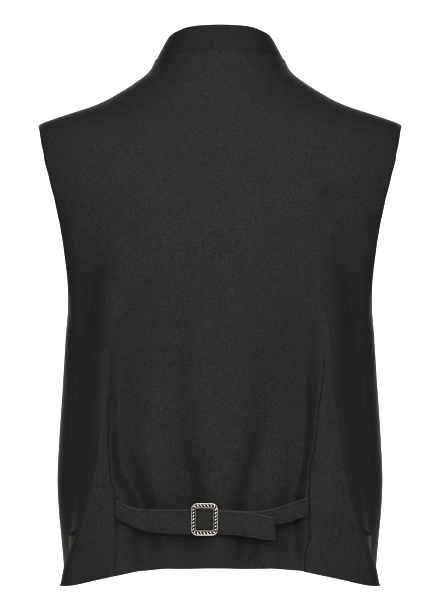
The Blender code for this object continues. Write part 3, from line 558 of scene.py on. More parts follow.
def angle_across(across, height, behind=True):
    """The angle at which the section is this far from the centre."""
    half_width, depth, square = section(height, behind)
    share = np.clip(np.abs(across) / half_width, 0, 0.9999)
    reach = reach_at(share, depth, square)
    return np.arctan2(across, reach if behind else -reach)


def angle_behind(distance, height):
    """The angle at which the section is this far behind (+) or before (-) the middle."""
    half_width, depth, square = section(height, distance >= 0)
    return np.arctan2(reach_at(np.abs(distance) / depth, half_width, square), distance)


def fold(data, turn, height, radius, behind=True):
    """How far one pair of folds moves the surface."""
    lean = read(data, "lean", height) * np.sign(turn) if "lean" in data else 0
    where = angle_across(read(data, "across", height) + lean, height, behind)
    away = (np.abs(turn) - where) * radius
    towards_centre = away < 0 if behind else away > 0
    width = np.where(towards_centre, read(data, "inner", height), read(data, "outer", height))
    return read(data, "rise", height) * bell(away, width)


def body(turn, height, lift=0.0):
    """Points of the draped surface. turn is in radians, positive over the wearer's left."""
    radius, x, y, half_width, depth, square = rounded(turn, height)
    out_x = np.sign(x) * (np.abs(x) / half_width) ** (square - 1) / half_width
    out_y = np.sign(y) * (np.abs(y) / depth) ** (square - 1) / depth
    length = np.hypot(out_x, out_y)
    rise = sum(fold(data, turn, height, radius) for data in BACK_FOLDS)
    rise = rise + fold(FRONT_FOLD, turn, height, radius, behind=False) + lift
    return np.stack([x + rise * out_x / length, y + rise * out_y / length, height + 0 * x], axis=-1)


def outward(turn, height):
    """Unit normals of the draped surface."""
    step = 1e-4
    round_it = body(turn + step, height) - body(turn - step, height)
    up_it = body(turn, height + step) - body(turn, height - step)
    return unit(np.cross(up_it, round_it))


def creases(turn, height):
    """How far the listed creases move the surface."""
    along = turn * GIRTH_RADIUS
    total = 0 * turn
    for start, start_height, end, end_height, rise, width in CREASES:
        first = np.array([math.radians(start) * GIRTH_RADIUS, start_height])
        run = np.array([math.radians(end) * GIRTH_RADIUS, end_height]) - first
        length = np.hypot(*run)
        share = ((along - first[0]) * run[0] + (height - first[1]) * run[1]) / length**2
        off = np.abs((along - first[0]) * run[1] - (height - first[1]) * run[0]) / length
        ends = ramp(share, *CREASE_IN) * (1 - ramp(share, *CREASE_OUT))
        total = total + rise * ends * bell(off, width)
    return total


def hem_height(across):
    """The back's hem: level in the middle, dropping to its corners."""
    share = np.clip((np.abs(across) - HEM_LEVEL) / HEM_DROP_WIDTH, 0, 1)
    return HEM_BACK - (HEM_BACK - HEM_CORNER) * share ** HEM_DROP_POWER


def spaced_turns(start, end, height_of):
    """Two curves along a row: the angle at each share of the way along the surface from start to
    end, and the share at each angle."""
    turns = np.linspace(start, end, 97)
    heights = height_of(turns)
    _, x, y, *_ = rounded(turns, heights)
    run = starts_of(lengths_along(np.stack([x, y, heights], axis=-1)))
    return (lambda share: np.interp(share * run[-1], run, turns),
            lambda turn: np.interp(turn, turns, run) / run[-1])


def seam_angle(height, edge):
    """Where a panel's side edge lies: the side seam, the armhole's edge or the shoulder seam."""
    if height < UNDERARM:
        behind = read(SIDE_SEAM, "behind", height)
    else:
        behind = read(ARMHOLE, edge, height)
    turn = angle_behind(behind, height)
    inset = EDGE_INSET / np.hypot(*body(turn, height)[:2])
    return turn - inset if edge == "back_edge" else turn + inset


# ---------------------------------------------------------------- the panels' rows and columns
BACK_ROWS = (("hem", "vent", 22), ("vent", "underarm", 62), ("underarm", "tip", 48),
             ("tip", "neck", 30))
# The columns lie between the valleys, the dart's edges and middle, the crest and the hollow.
BACK_COLUMNS = (10, 13, 9, 4, 4, 17, 14, 10)
MARK_LIMITS = (1, 1, 1, 1, 1, 0.84, 0.93)     # so that the last ones keep their order
DART_COLUMN = 36
FOLDS_TOP = -0.200             # above this the columns keep the shares they have here
BACK_GUIDES = {                # height at the centre, at the edge, and how late the row rises to it
    "hem": (HEM_BACK, HEM_CORNER, 2.0),
    "vent": (-0.540, VENT_TOP, 2.0),
    "underarm": (-0.294, UNDERARM, 2.0),
    "tip": (-0.082, SHOULDER_TIP, 3.0),
    "neck": (NECK_BACK, SHOULDER_SLOPE_TOP, 2.0),
}
FRONT_ROWS = (("hem", "tuck", 18), ("tuck", "notch", 2), ("notch", "vent", 2), *BACK_ROWS[1:])
FRONT_COLUMNS = 66
VENT_REACH = 0.22              # only the columns this near the edge follow the vent
LAP_MARKS = (3.4, 3.0, 2.6, 2.2, 1.9, 1.6, 1.3, 1.05, 0.8, 0.62, 0.5, 0.38, 0.26, 0.16, 0.08, 0.0)
FACING_COLUMNS = np.linspace(0.044, 0.124, 11)   # the front's columns under the vent's facing
FRONT_GUIDES = {
    "hem": (HEM_FRONT, HEM_FRONT, 2.0),
    "tuck": (-0.560, VENT_TOP - 0.0070, 2.0),
    "notch": (-0.555, VENT_TOP - 0.0035, 2.0),
    "vent": (-0.550, VENT_TOP, 2.0),
    "underarm": (-0.310, UNDERARM, 2.0),
    "tip": (-0.122, SHOULDER_TIP, 2.6),
    "neck": (NECK_FRONT, SHOULDER_SLOPE_TOP, 4.0),
}
COLLAR_ROWS = 16
COLLAR_COLUMNS = 190
FACING_STRIP_ROWS = 8


def row_shares(rows):
    """(lower guide, upper guide, share between them) of each row, from the hem up."""
    steps = []
    for lower, upper, count in rows:
        for step in range(count):
            share = step / count
            if lower == "underarm":      # closer rows round the foot and the top of the armhole
                share = bunched(share)
            if lower == "tip":           # closer rows at the shoulder's corner
                share = 1 - (1 - share**1.3) ** 1.3
            if lower == "hem":           # closer rows at the hem's turned edge
                share **= 1.15
            steps.append((lower, upper, share))
    steps.append((rows[-1][0], rows[-1][1], 1.0))
    return steps


def row_ends(guides, row):
    """A row's heights at the centre and at its edge."""
    lower, upper, share = row
    return [between(guides[lower][end], guides[upper][end], share) for end in (0, 1)]


def guide_height(guides, name, progress, across=None):
    """A guide's height, from the centre (0) to its edge (1). The back's hem has its own curve."""
    centre, edge, power = guides[name]
    if name == "hem" and across is not None:
        return hem_height(across)
    return centre + (edge - centre) * np.sin(np.clip(progress, 0, 1) * math.pi / 2) ** power


def row_height(guides, row, progress, across=None):
    """A row's height, from the centre (0) to its edge (1)."""
    lower, upper, share = row
    return between(guide_height(guides, lower, progress, across),
                   guide_height(guides, upper, progress), share)


def run_from(points, axis, far=False):
    """Distance along the cloth of every point from the first (or the far) edge of the grid."""
    steps = np.linalg.norm(np.diff(points, axis=axis), axis=-1)
    start = np.zeros_like(np.take(steps, [0], axis=axis))
    run = np.cumsum(np.concatenate([start, steps], axis=axis), axis=axis)
    return np.take(run, [-1], axis=axis) - run if far else run


def back_marks(side, height):
    """How far from the centre one half's marked columns lie at a height."""
    sign = 1 if side == "left" else -1
    inner, outer = (read(valley, "across", height) + sign * read(valley, "lean", height)
                    for valley in (INNER_VALLEY, OUTER_VALLEY))
    dart = read(DARTS, side, height)
    return (inner, min(outer, dart - 3.0 * DART_HALF_WIDTH),
            dart - DART_HALF_WIDTH, dart, dart + DART_HALF_WIDTH,
            max(read(CREST, "across", height), dart + 3.0 * DART_HALF_WIDTH),
            max(read(HOLLOW, "across", height), dart + 6.0 * DART_HALF_WIDTH))


def back_half(side):
    """Angles, heights and lifts of one half of the back, from the centre out."""
    sign = 1 if side == "left" else -1
    turns, heights, lifts = [], [], []
    for row in row_shares(BACK_ROWS):
        centre_height, edge_height = row_ends(BACK_GUIDES, row)
        if edge_height < BELOW_VENT:
            end = angle_across(read(FLAP_EDGE, "across", edge_height), edge_height)
        else:
            end = seam_angle(edge_height, "back_edge")
            end = end + SEAM_CLOSE / np.hypot(*body(end, edge_height)[:2])

        def height_of(turn):
            across = body(turn, centre_height + 0 * turn)[:, 0]
            return row_height(BACK_GUIDES, row, turn / end, across)

        turn_at, share_at = spaced_turns(0, end, height_of)
        level = min(edge_height, FOLDS_TOP)
        if edge_height > level:
            level_end = seam_angle(level, "back_edge")
            _, share_at = spaced_turns(0, level_end, lambda turn: level + 0 * turn)
        marks = [share_at(angle_across(across, level)) for across in back_marks(side, level)]
        marks = np.minimum(marks, MARK_LIMITS)
        shares = [0.0]
        for first, last, count in zip([0.0, *marks], [*marks, 1.0], BACK_COLUMNS):
            shares += list(first + (last - first) * np.arange(1, count + 1) / count)
        along = turn_at(np.array(shares))
        turns.append(sign * along)
        heights.append(height_of(along))
        off_edge = (end - along) * GIRTH_RADIUS
        lift = FLAP_LIFT * read(FLAP_EDGE, "lift", edge_height)
        lifts.append(lift * (1 - ramp(off_edge, *FLAP_BLEND)))
    return np.array(turns), np.array(heights), np.array(lifts)


def turned_edge(off):
    """How far a turned edge lifts the cloth, this far from it."""
    return EDGE_RISE * (1 - ramp(off, *TURNING_END))


def sewn_edge(off, roll=SEAM_ROLL):
    """How far a seam's allowance lifts the cloth and the seam draws it in, this far from it."""
    return ALLOWANCE_RISE * (1 - ramp(off, *ALLOWANCE_END)) - roll * bell(off, SEAM_ROLL_WIDTH)


def relief(side_off, hem_off, neck_off, edge_heights):
    """What seams and turned edges do to the cloth. The distances are from the panel's edges."""
    sewn = ((edge_heights > VENT_TOP) & (edge_heights < UNDERARM)) | (edge_heights > SHOULDER_TIP)
    side = np.where(sewn, sewn_edge(side_off), turned_edge(side_off))
    ridge = NECK_RIDGE * bell(neck_off - NECK_RIDGE_PLACE, NECK_RIDGE_WIDTH)
    return side + turned_edge(hem_off) + sewn_edge(neck_off, 0.0) + ridge


def wall_points(turns, heights, lifts=0.0, steps=0.0):
    """The outer and inner points of a wall on the body. Steps move it along its own normal."""
    normal = outward(turns, heights)
    # The folds differ on the two sides, so the middle has no slope of its own.
    normal[turns == 0, 0] = 0
    normal = unit(normal)
    steps = np.broadcast_to(steps, turns.shape)
    rise = creases(turns, heights)
    outer = body(turns, heights, lifts) + (steps + rise)[..., None] * normal
    outer[..., 0] = np.clip(outer[..., 0], -TIP_REACH, TIP_REACH)
    return outer, outer - CLOTH * normal


def back_points():
    """The back's outer and inner points, with its darts, seams and turned edges."""
    halves = {}
    for side, top in DART_TOP.items():
        turns, heights, lifts = back_half(side)
        plain = body(turns, heights)
        worked = relief(run_from(plain, 1, True), run_from(plain, 0), run_from(plain, 0, True),
                        heights[:, -1:])
        outer, inner = wall_points(turns, heights, lifts, worked)
        sewn = 1 - ramp(heights[:, DART_COLUMN], top - DART_FADE, top)
        off_dart = np.linalg.norm(outer - outer[:, DART_COLUMN:DART_COLUMN + 1], axis=-1)
        outside = np.arange(outer.shape[1])[None, :] > DART_COLUMN
        groove = DART_GROOVE * bell(off_dart, DART_GROOVE_WIDTH)
        lip = -DART_LIP * bell(off_dart - LIP_PLACE, LIP_WIDTH) * np.where(outside, 1.0, INNER_LIP)
        pucker = DIMPLE * bell(np.hypot(off_dart, heights - top), DIMPLE_WIDTH)
        off_crest = np.abs(plain[..., 0]) - read(CREST, "across", heights)
        edge = CREST_EDGE * (ramp(-heights, *CREST_SPAN) * bell(off_crest, CREST_SPREAD))
        sunk = (groove + lip) * sewn[:, None] + pucker - edge
        halves[side] = outer + (inner - outer) / CLOTH * sunk[..., None], inner
    return tuple(np.concatenate([right[:, :0:-1], left], axis=1)
                 for right, left in zip(halves["right"], halves["left"]))


def tuck_share(turn, height, edge_height):
    """How far the front is pressed in under the back: at once at the vent, slowly beside it."""
    past_vent = (turn - angle_across(VENT_ACROSS, height)) * GIRTH_RADIUS
    at_vent = (edge_height < BELOW_VENT) * (1 - ramp(past_vent, *VENT_TUCK))
    beside = (1 - ramp(past_vent, *BESIDE_TUCK)) * ramp(VENT_TOP - height, 0.0, TUCK_DROP)
    return np.maximum(at_vent, beside)


def front_half(side, shares=None):
    """Angles, heights and steps of one front, from its side edge to its front edge."""
    sign = 1 if side == "left" else -1
    turns, heights, steps = [], [], []
    for row in row_shares(FRONT_ROWS):
        centre_height, edge_height = row_ends(FRONT_GUIDES, row)
        lap = FRONT_LAP / read(SECTIONS, "front_depth", centre_height)
        seam = seam_angle(edge_height, "front_edge")
        edge = seam
        if edge_height < FRONT_GUIDES["notch"][1] - 1e-6:
            edge = angle_across(VENT_ACROSS - UNDERLAP, edge_height)
        elif edge_height < BELOW_VENT:
            edge = angle_across(VENT_ACROSS + NOTCH, edge_height)

        def height_of(turn):
            return row_height(FRONT_GUIDES, row, (math.pi - turn) / (math.pi - seam))

        turn_at, share_at = spaced_turns(seam, math.pi + lap, height_of)
        lap_share = 1 - share_at(math.pi)
        even = np.linspace(0, 1, FRONT_COLUMNS)
        even = even * (0.4 + 0.6 * even) if shares is None else shares    # closer at the side edge
        marked = even * (1 - LAP_MARKS[0] * lap_share)
        marked = np.concatenate([marked, 1 - np.array(LAP_MARKS[1:]) * lap_share])
        along = turn_at(marked) + (edge - seam) * np.clip(1 - marked / VENT_REACH, 0, 1)
        level = height_of(along)
        under = 0 * along
        if side == "right":
            under = LAP_STEP * (1 - ramp(body(along, level)[:, 0], *LAP_BLEND)) * (along > LAP_FROM)
        turns.append(sign * along)
        heights.append(level)
        steps.append(-under - UNDERLAP_STEP * tuck_share(along, level, edge_height))
    return np.array(turns), np.array(heights), np.array(steps)


def front_points(side):
    """A front's outer and inner points, with its seams and turned edges."""
    turns, heights, steps = front_half(side)
    plain = body(turns, heights)
    worked = relief(run_from(plain, 1), run_from(plain, 0), run_from(plain, 0, True),
                    heights[:, :1])
    worked = worked + turned_edge(run_from(plain, 1, True))
    return wall_points(turns, heights, steps=steps + worked)


def neck_height(turn):
    """Height of the neck seam round the body."""
    turn = np.abs(turn)
    back = NECK_BACK + (SHOULDER_SLOPE_TOP - NECK_BACK) * np.sin(turn) ** 2
    front = NECK_FRONT + (SHOULDER_SLOPE_TOP - NECK_FRONT) * np.sin(turn) ** 4
    return np.where(turn < math.pi / 2, back, front)


def collar_points(shares):
    """The stand collar at these shares of its height. Its foot follows the body's slope, its top
    leans in. Returns its outer points, its outward normals and the length of its rise."""
    half_gap = COLLAR_HALF_GAP / read(SECTIONS, "front_depth", NECK_FRONT)
    turns = np.linspace(-(math.pi - half_gap), math.pi - half_gap, COLLAR_COLUMNS)
    foot_height = neck_height(turns) - COLLAR_TUCK
    foot = body(turns, foot_height)
    foot_normal = outward(turns, foot_height)
    degrees = np.degrees(np.abs(turns))
    radius = read(COLLAR_TOP, "radius", degrees, "turn")
    top = np.stack([radius * np.sin(turns), radius * np.cos(turns),
                    read(COLLAR_TOP, "height", degrees, "turn")], axis=-1)
    slope = unit(np.cross(foot_normal, np.gradient(foot, axis=0)))
    rise = np.linalg.norm(top - foot, axis=-1, keepdims=True)
    bow = COLLAR_BOW * rise * (np.sign(slope[..., 2:]) * slope - (top - foot) / rise)
    outer = foot + (top - foot) * shares + bow * shares * (1 - shares) ** 2
    normal = unit(np.cross(np.gradient(outer, axis=0), np.gradient(outer, axis=1)))
    normal = foot_normal * (1 - shares) ** 3 + normal * (1 - (1 - shares) ** 3)
    return outer, unit(normal), rise


def collar_wall():
    """The collar's outer and inner points, with its rolled top edge and its soft swell."""
    shares = bunched(np.linspace(0, 1, COLLAR_ROWS))[:, None, None]
    outer, normal, rise = collar_points(shares)
    worked = COLLAR_PILLOW * np.clip(np.sin(shares * math.pi), 0, 1) ** COLLAR_PILLOW_POWER
    worked = worked - COLLAR_TOP_ROLL * bell((1 - shares) * rise, COLLAR_TOP_WIDTH)
    outer = outer + worked * normal
    return outer, outer - COLLAR_CLOTH * normal


def collar_facing_wall():
    """The facing on the collar's inner face. It ends just above the collar's top edge."""
    shares = np.linspace(FACING_FOOT, 1, FACING_STRIP_ROWS)[:, None, None]
    outer, normal, _ = collar_points(shares)
    outer[-1] += FACING_PROUD * unit(outer[-1] - outer[-2])
    outer = outer - (COLLAR_CLOTH + SEAM_GAP) * normal
    return outer, outer - FACING_THICKNESS * normal


# ---------------------------------------------------------------- making the meshes
def new_object(name, bm, material, recalculate=True):
    """Turns a bmesh into a smooth object of one material."""
    if recalculate:
        bmesh.ops.recalc_face_normals(bm, faces=bm.faces[:])
    mesh = bpy.data.meshes.new(name)
    bm.to_mesh(mesh)
    bm.free()
    mesh.materials.append(material)
    mesh.shade_smooth()
    made = bpy.data.objects.new(name, mesh)
    bpy.context.scene.collection.objects.link(made)
    return made


def grid(rows, columns):
    """A bmesh grid whose vertices know their own place in it."""
    bm = bmesh.new()
    place = bm.verts.layers.int.new("place")
    bmesh.ops.create_grid(bm, x_segments=columns - 1, y_segments=rows - 1, size=0.5)
    for vert in bm.verts:
        row = round((vert.co.y + 0.5) * (rows - 1))
        column = round((vert.co.x + 0.5) * (columns - 1))
        vert[place] = row * columns + column
    return bm, place


def wall(name, outer, inner, material, roll):
    """A cloth wall: a grid on the outer points, extruded to the inner ones, with rolled edges."""
    rows, columns = outer.shape[:2]
    bm, place = grid(rows, columns)
    grown = bmesh.ops.extrude_face_region(bm, geom=bm.faces[:])
    grown = {item for item in grown["geom"] if isinstance(item, bmesh.types.BMVert)}
    for vert in bm.verts:
        vert.co = (inner if vert in grown else outer)[divmod(vert[place], columns)]
    made = new_object(name, bm, material)
    rolled = made.modifiers.new("rolled edges", "BEVEL")
    rolled.width = roll
    rolled.segments = 2
    rolled.limit_method = "ANGLE"
    rolled.angle_limit = math.radians(50)
    return made


def swept(name, centres, normals, profile, closed, material):
    """A band swept along a line. profile gives (sideways, outwards) at each turn of the section."""
    count, steps = len(centres), np.shape(profile)[-2]
    tangent = np.roll(centres, -1, axis=0) - np.roll(centres, 1, axis=0)
    if not closed:
        tangent[0], tangent[-1] = centres[1] - centres[0], centres[-1] - centres[-2]
    sideways = unit(np.cross(tangent, normals))
    profile = np.broadcast_to(profile, (count, steps, 2))
    points = (centres[:, None] + sideways[:, None] * profile[..., :1]
              + normals[:, None] * profile[..., 1:])
    rows = count + 1 if closed else count
    bm, place = grid(rows, steps + 1)
    for vert in bm.verts:
        row, column = divmod(vert[place], steps + 1)
        vert.co = points[row % count, column % steps]
    bmesh.ops.remove_doubles(bm, verts=bm.verts[:], dist=1e-7)
    if not closed:
        bmesh.ops.holes_fill(bm, edges=[edge for edge in bm.edges if edge.is_boundary], sides=0)
    return new_object(name, bm, material)


def round_profile(radius, sides, flat=1.0):
    """A round section for a sweep. flat squashes it towards its line."""
    ring = np.radians(np.arange(sides) * 360 / sides)
    return radius * np.stack([np.cos(ring), flat * np.sin(ring)], axis=-1)


def mark_wear_and_highlight(mesh, values):
    """Gives each vertex how pale it is made, from 0 to 1: wear on the metal, and on the straps' edges
    wear with a painted highlight.
    """
    layer = mesh.attributes.new("rubbed", "FLOAT", "POINT")
    layer.data.foreach_set("value", values.astype(np.float32))


def dress(piece, nodes):
    """Puts a finished piece on the frame."""
    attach(piece, BODY)
    if nodes:
        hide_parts(*nodes)
    return piece


def joined(name, pieces, rubbed=None):
    """Several meshes as one object. rubbed says how bright each metal one is worn, from 0 to 1."""
    bm = bmesh.new()
    counts = []
    material = pieces[0].data.materials[0]
    for piece in pieces:
        bm.from_mesh(piece.data)
        counts.append(len(piece.data.vertices))
        bpy.data.objects.remove(piece, do_unlink=True)
    made = new_object(name, bm, material, recalculate=False)
    if rubbed:
        mark_wear_and_highlight(made.data, np.repeat(rubbed, counts))
    return made


# ---------------------------------------------------------------- materials
def feed(tree, fed, inputs):
    """Gives a node's inputs their values, or links the outputs that feed them."""
    for key, value in inputs.items():
        if isinstance(value, bpy.types.NodeSocket):
            tree.links.new(value, fed.inputs[key])
        else:
            fed.inputs[key].default_value = value
    return fed


def node(tree, kind, inputs=None, **settings):
    """A new node with its settings, and with its inputs fed by name or by number."""
    made = tree.nodes.new(kind)
    for key, value in settings.items():
        setattr(made, key, value)
    return feed(tree, made, inputs or {})


def colour_mix(tree, share, first, second, **settings):
    """A colour this share of the way from the first one to the second."""
    inputs = {"Factor": share, "A": first, "B": second}
    return node(tree, "ShaderNodeMix", inputs, data_type="RGBA", **settings).outputs["Result"]


def remap(tree, value, given, wanted):
    """A value moved from one range into another."""
    inputs = {"Value": value, "From Min": given[0], "From Max": given[1],
              "To Min": wanted[0], "To Max": wanted[1]}
    return node(tree, "ShaderNodeMapRange", inputs).outputs["Result"]


def multiply_add(tree, value, factor, added):
    """A value times a factor, plus another value."""
    inputs = {0: value, 1: factor, 2: added}
    return node(tree, "ShaderNodeMath", inputs, operation="MULTIPLY_ADD").outputs["Value"]


def bumps(tree, height, strength, distance):
    """Normals that follow a height."""
    inputs = {"Height": height, "Strength": strength, "Distance": distance}
    return node(tree, "ShaderNodeBump", inputs).outputs["Normal"]


def wear_and_highlight_share(tree):
    """How far the surface is made pale: wear, and on the straps' edges a painted highlight as well.
    """
    return node(tree, "ShaderNodeAttribute", attribute_name="rubbed").outputs["Fac"]


def object_place(tree):
    """The place on the object."""
    return node(tree, "ShaderNodeTexCoord").outputs["Object"]


def new_material(name):
    """A material, its node tree and its shader."""
    made = bpy.data.materials.new(name)
    made.use_nodes = True
    return made, made.node_tree, made.node_tree.nodes["Principled BSDF"]


def felt_group():
    """Fulled wool: a fine mix of dark and light fibres, a soft mottle and a short nap."""
    found = bpy.data.node_groups.get("Fulled wool")
    if found:
        return found
    group = bpy.data.node_groups.new("Fulled wool", "ShaderNodeTree")
    for name, kind, in_out in (
            ("Vector", "NodeSocketVector", "INPUT"), ("Dark fibre", "NodeSocketColor", "INPUT"),
            ("Light fibre", "NodeSocketColor", "INPUT"), ("Fleck", "NodeSocketColor", "INPUT"),
            ("Color", "NodeSocketColor", "OUTPUT"), ("Height", "NodeSocketFloat", "OUTPUT")):
        group.interface.new_socket(name=name, in_out=in_out, socket_type=kind)
    given = node(group, "NodeGroupInput").outputs
    nap = node(group, "ShaderNodeMapping", {"Vector": given["Vector"], "Scale": (1.0, 1.0, 0.6)})

    def noise(scale, detail):
        inputs = {"Vector": nap.outputs["Vector"], "Scale": scale, "Detail": detail,
                  "Roughness": 0.6}
        return node(group, "ShaderNodeTexNoise", inputs).outputs["Fac"]

    fibres = noise(820.0, 3.0)
    colour = colour_mix(group, remap(group, fibres, (0.30, 0.70), (0.0, 1.0)),
                        given["Dark fibre"], given["Light fibre"])
    flecks = remap(group, noise(1500.0, 2.0), (0.60, 0.78), (0.0, 1.0))
    colour = colour_mix(group, flecks, colour, given["Fleck"])
    mottle = remap(group, noise(45.0, 3.0), (0.30, 0.70), (0.97, 1.03))
    shade = node(group, "ShaderNodeCombineColor", {"Red": mottle, "Green": mottle, "Blue": mottle})
    colour = colour_mix(group, 1.0, colour, shade.outputs["Color"], blend_type="MULTIPLY")
    height = multiply_add(group, fibres, 0.6, noise(1900.0, 2.0))
    node(group, "NodeGroupOutput", {"Color": colour, "Height": height})
    return group


def cloth_material(name, dark, light, fleck, sheen):
    """A felted cloth finish on the object's own coordinates. Places marked pale show the fleck: on
    the straps' edges that is wear and a painted highlight.
    """
    found = bpy.data.materials.get(name)
    if found:
        return found
    made, tree, shader = new_material(name)
    felt = node(tree, "ShaderNodeGroup", node_tree=felt_group())
    feed(tree, felt, {"Vector": object_place(tree), "Dark fibre": (*dark, 1),
                      "Light fibre": (*light, 1), "Fleck": (*fleck, 1)})
    feed(tree, shader, {
        # The base colour turns to the fleck where the vertex attribute marks it pale: on the straps'
        # edges, wear and a painted highlight.
        "Base Color": colour_mix(tree, wear_and_highlight_share(tree), felt.outputs["Color"], (*fleck, 1)),
        "Roughness": 0.95,
        "Specular IOR Level": 0.08,
        "Sheen Weight": sheen,
        "Sheen Roughness": 0.45,
        "Sheen Tint": (0.60, 0.58, 0.55, 1),
        "Normal": bumps(tree, felt.outputs["Height"], 0.35, 0.0003),
    })
    return made


def wool(name="charcoal wool", nap=1.0):
    """The charcoal wool. nap scales its colours down; the collar's darker copy made this way is
    painted shade.
    """
    settings = bpy.context.scene.folk_vest
    tones = [[nap * channel for channel in tone]
             for tone in (settings.wool_dark, settings.wool_light, settings.wool_fleck)]
    return cloth_material(name, *tones, WOOL_SHEEN)


def trim():
    """The grey-green cloth of the facings."""
    settings = bpy.context.scene.folk_vest
    return cloth_material("green facing", settings.trim_dark, settings.trim_light,
                          settings.trim_fleck, WOOL_SHEEN)


def wool_thread():
    """The dark thread of the stitches and buttonholes."""
    return cloth_material("wool thread", (0.018, 0.017, 0.016), (0.034, 0.033, 0.031),
                          (0.06, 0.058, 0.055), THREAD_SHEEN)


def silver():
    """Oxidised antique silver: dark in the recesses, rubbed bright on what stands out."""
    found = bpy.data.materials.get("antique silver")
    if found:
        return found
    settings = bpy.context.scene.folk_vest
    made, tree, shader = new_material("antique silver")
    inputs = {"Vector": object_place(tree), "Scale": 420.0, "Detail": 4.0}
    stain = node(tree, "ShaderNodeTexNoise", inputs).outputs["Fac"]
    bright = multiply_add(tree, stain, 0.35, wear_and_highlight_share(tree))
    bright = remap(tree, bright, (0.25, 0.95), (0.0, 1.0))
    feed(tree, shader, {
        "Base Color": colour_mix(tree, bright, (*settings.silver_dark, 1),
                                 (*settings.silver_bright, 1)),
        "Metallic": 1.0,
        "Roughness": remap(tree, bright, (0.0, 1.0), (0.55, 0.24)),
        "Normal": bumps(tree, stain, 0.15, 0.0002),
    })
    return made


# ---------------------------------------------------------------- settings
class FolkVestSettings(bpy.types.PropertyGroup):
    """Sizes and colours of the vest that a user would change"""
    edge_roll: FloatProperty(
        name="Edge roll", description="How far the cloth's cut edges are rounded",
        default=0.0007, min=0.0001, max=0.001, unit="LENGTH", precision=4)
    stitch_length: FloatProperty(
        name="Stitch length", description="Length of one stitch on the belt and the buttonholes",
        default=0.0026, min=0.001, max=0.006, unit="LENGTH", precision=4)
    wool_dark: FloatVectorProperty(
        name="Wool, dark fibre", description="Colour of the wool's dark fibres",
        default=(0.0195, 0.0191, 0.0182), size=3, min=0, max=1, subtype="COLOR")
    wool_light: FloatVectorProperty(
        name="Wool, light fibre", description="Colour of the wool's lighter fibres",
        default=(0.0362, 0.0354, 0.0339), size=3, min=0, max=1, subtype="COLOR")
    wool_fleck: FloatVectorProperty(
        name="Wool, fleck", description="Colour of the few pale fibres in the wool",
        default=(0.058, 0.0567, 0.0545), size=3, min=0, max=1, subtype="COLOR")
    trim_dark: FloatVectorProperty(
        name="Facing, dark fibre", description="Colour of the green facing's dark fibres",
        default=(0.027, 0.035, 0.025), size=3, min=0, max=1, subtype="COLOR")
    trim_light: FloatVectorProperty(
        name="Facing, light fibre", description="Colour of the green facing's lighter fibres",
        default=(0.053, 0.065, 0.049), size=3, min=0, max=1, subtype="COLOR")
    trim_fleck: FloatVectorProperty(
        name="Facing, fleck", description="Colour of the few pale fibres in the facing",
        default=(0.088, 0.100, 0.080), size=3, min=0, max=1, subtype="COLOR")
    silver_dark: FloatVectorProperty(
        name="Silver, recess", description="Colour of the oxidised metal in the recesses",
        default=(0.016, 0.015, 0.013), size=3, min=0, max=1, subtype="COLOR")
    silver_bright: FloatVectorProperty(
        name="Silver, rubbed", description="Colour of the metal where it is rubbed bright",
        default=(0.46, 0.445, 0.41), size=3, min=0, max=1, subtype="COLOR")
    key_power: FloatProperty(
        name="Key light", description="Power of the large soft light behind the back's camera",
        default=148.0, min=0, max=1000, unit="POWER")


class VestOperator:
    """What the vest's operators share."""
    bl_options = {"REGISTER", "UNDO"}


class VEST_OT_back(VestOperator, bpy.types.Operator):
    """Build the back panel with its folds, darts and rounded vent flaps"""
    bl_idname = "vest.back"
    bl_label = "Back"

    def execute(self, context):
        roll = context.scene.folk_vest.edge_roll
        piece = wall("back_cloth", *back_points(), wool(), roll)
        dress(piece, ["back"])
        return {"FINISHED"}


class VEST_OT_fronts(VestOperator, bpy.types.Operator):
    """Build the two plain fronts, the left one lapped over the right"""
    bl_idname = "vest.fronts"
    bl_label = "Fronts"

    def execute(self, context):
        roll = context.scene.folk_vest.edge_roll
        for side in ("left", "right"):
            piece = wall(f"front_cloth_{side}", *front_points(side), wool(), roll)
            dress(piece, [f"front_{side}"])
        return {"FINISHED"}


class VEST_OT_collar(VestOperator, bpy.types.Operator):
    """Build the stand collar and the facing inside it"""
    bl_idname = "vest.collar"
    bl_label = "Collar"

    def execute(self, context):
        roll = SEAMED_ROLL * context.scene.folk_vest.edge_roll
        # The collar's wool is a darker copy of the charcoal wool: painted shade.
        cloth = wool("charcoal wool, painted shade", COLLAR_PAINTED_SHADE)
        piece = wall("collar_cloth", *collar_wall(), cloth, roll)
        dress(piece, ["collar"])
        piece = wall("collar_facing_cloth", *collar_facing_wall(), trim(), roll)
        dress(piece, ["collar_facing"])
        return {"FINISHED"}


# ---------------------------------------------------------------- the half-belt
# Shares from a strap's top to its bottom, closer at the rolled edges and the stitching.
STRAP_SHARES = np.array((
    0, 0.02, 0.045, 0.075, 0.09, 0.105, 0.13, 0.17, 0.24, 0.33, 0.42, 0.5,
    0.58, 0.67, 0.76, 0.83, 0.87, 0.895, 0.91, 0.925, 0.955, 0.98, 1.0))[:, None]


def strap_edges(data, across):
    """Heights of a strap's top and bottom edges."""
    return read(data, "top", across, "across"), read(data, "bottom", across, "across")


def strap_place(data, across, shares):
    """Points and outward normals on a strap's inner face. shares run from its top to its bottom."""
    top, bottom = strap_edges(data, across)
    lift = read(data, "lift", across, "across")
    heights = top * (1 - shares) + bottom * shares
    half_width, depth, square = section(0.5 * (top + bottom), True)
    reach = reach_at(np.abs(across) / half_width, depth, square)
    inner = np.stack(np.broadcast_arrays(across, reach + lift, heights), axis=-1)
    along = np.gradient(inner, axis=-2)
    return inner, unit(np.stack([-along[..., 1], along[..., 0], 0 * along[..., 0]], axis=-1))


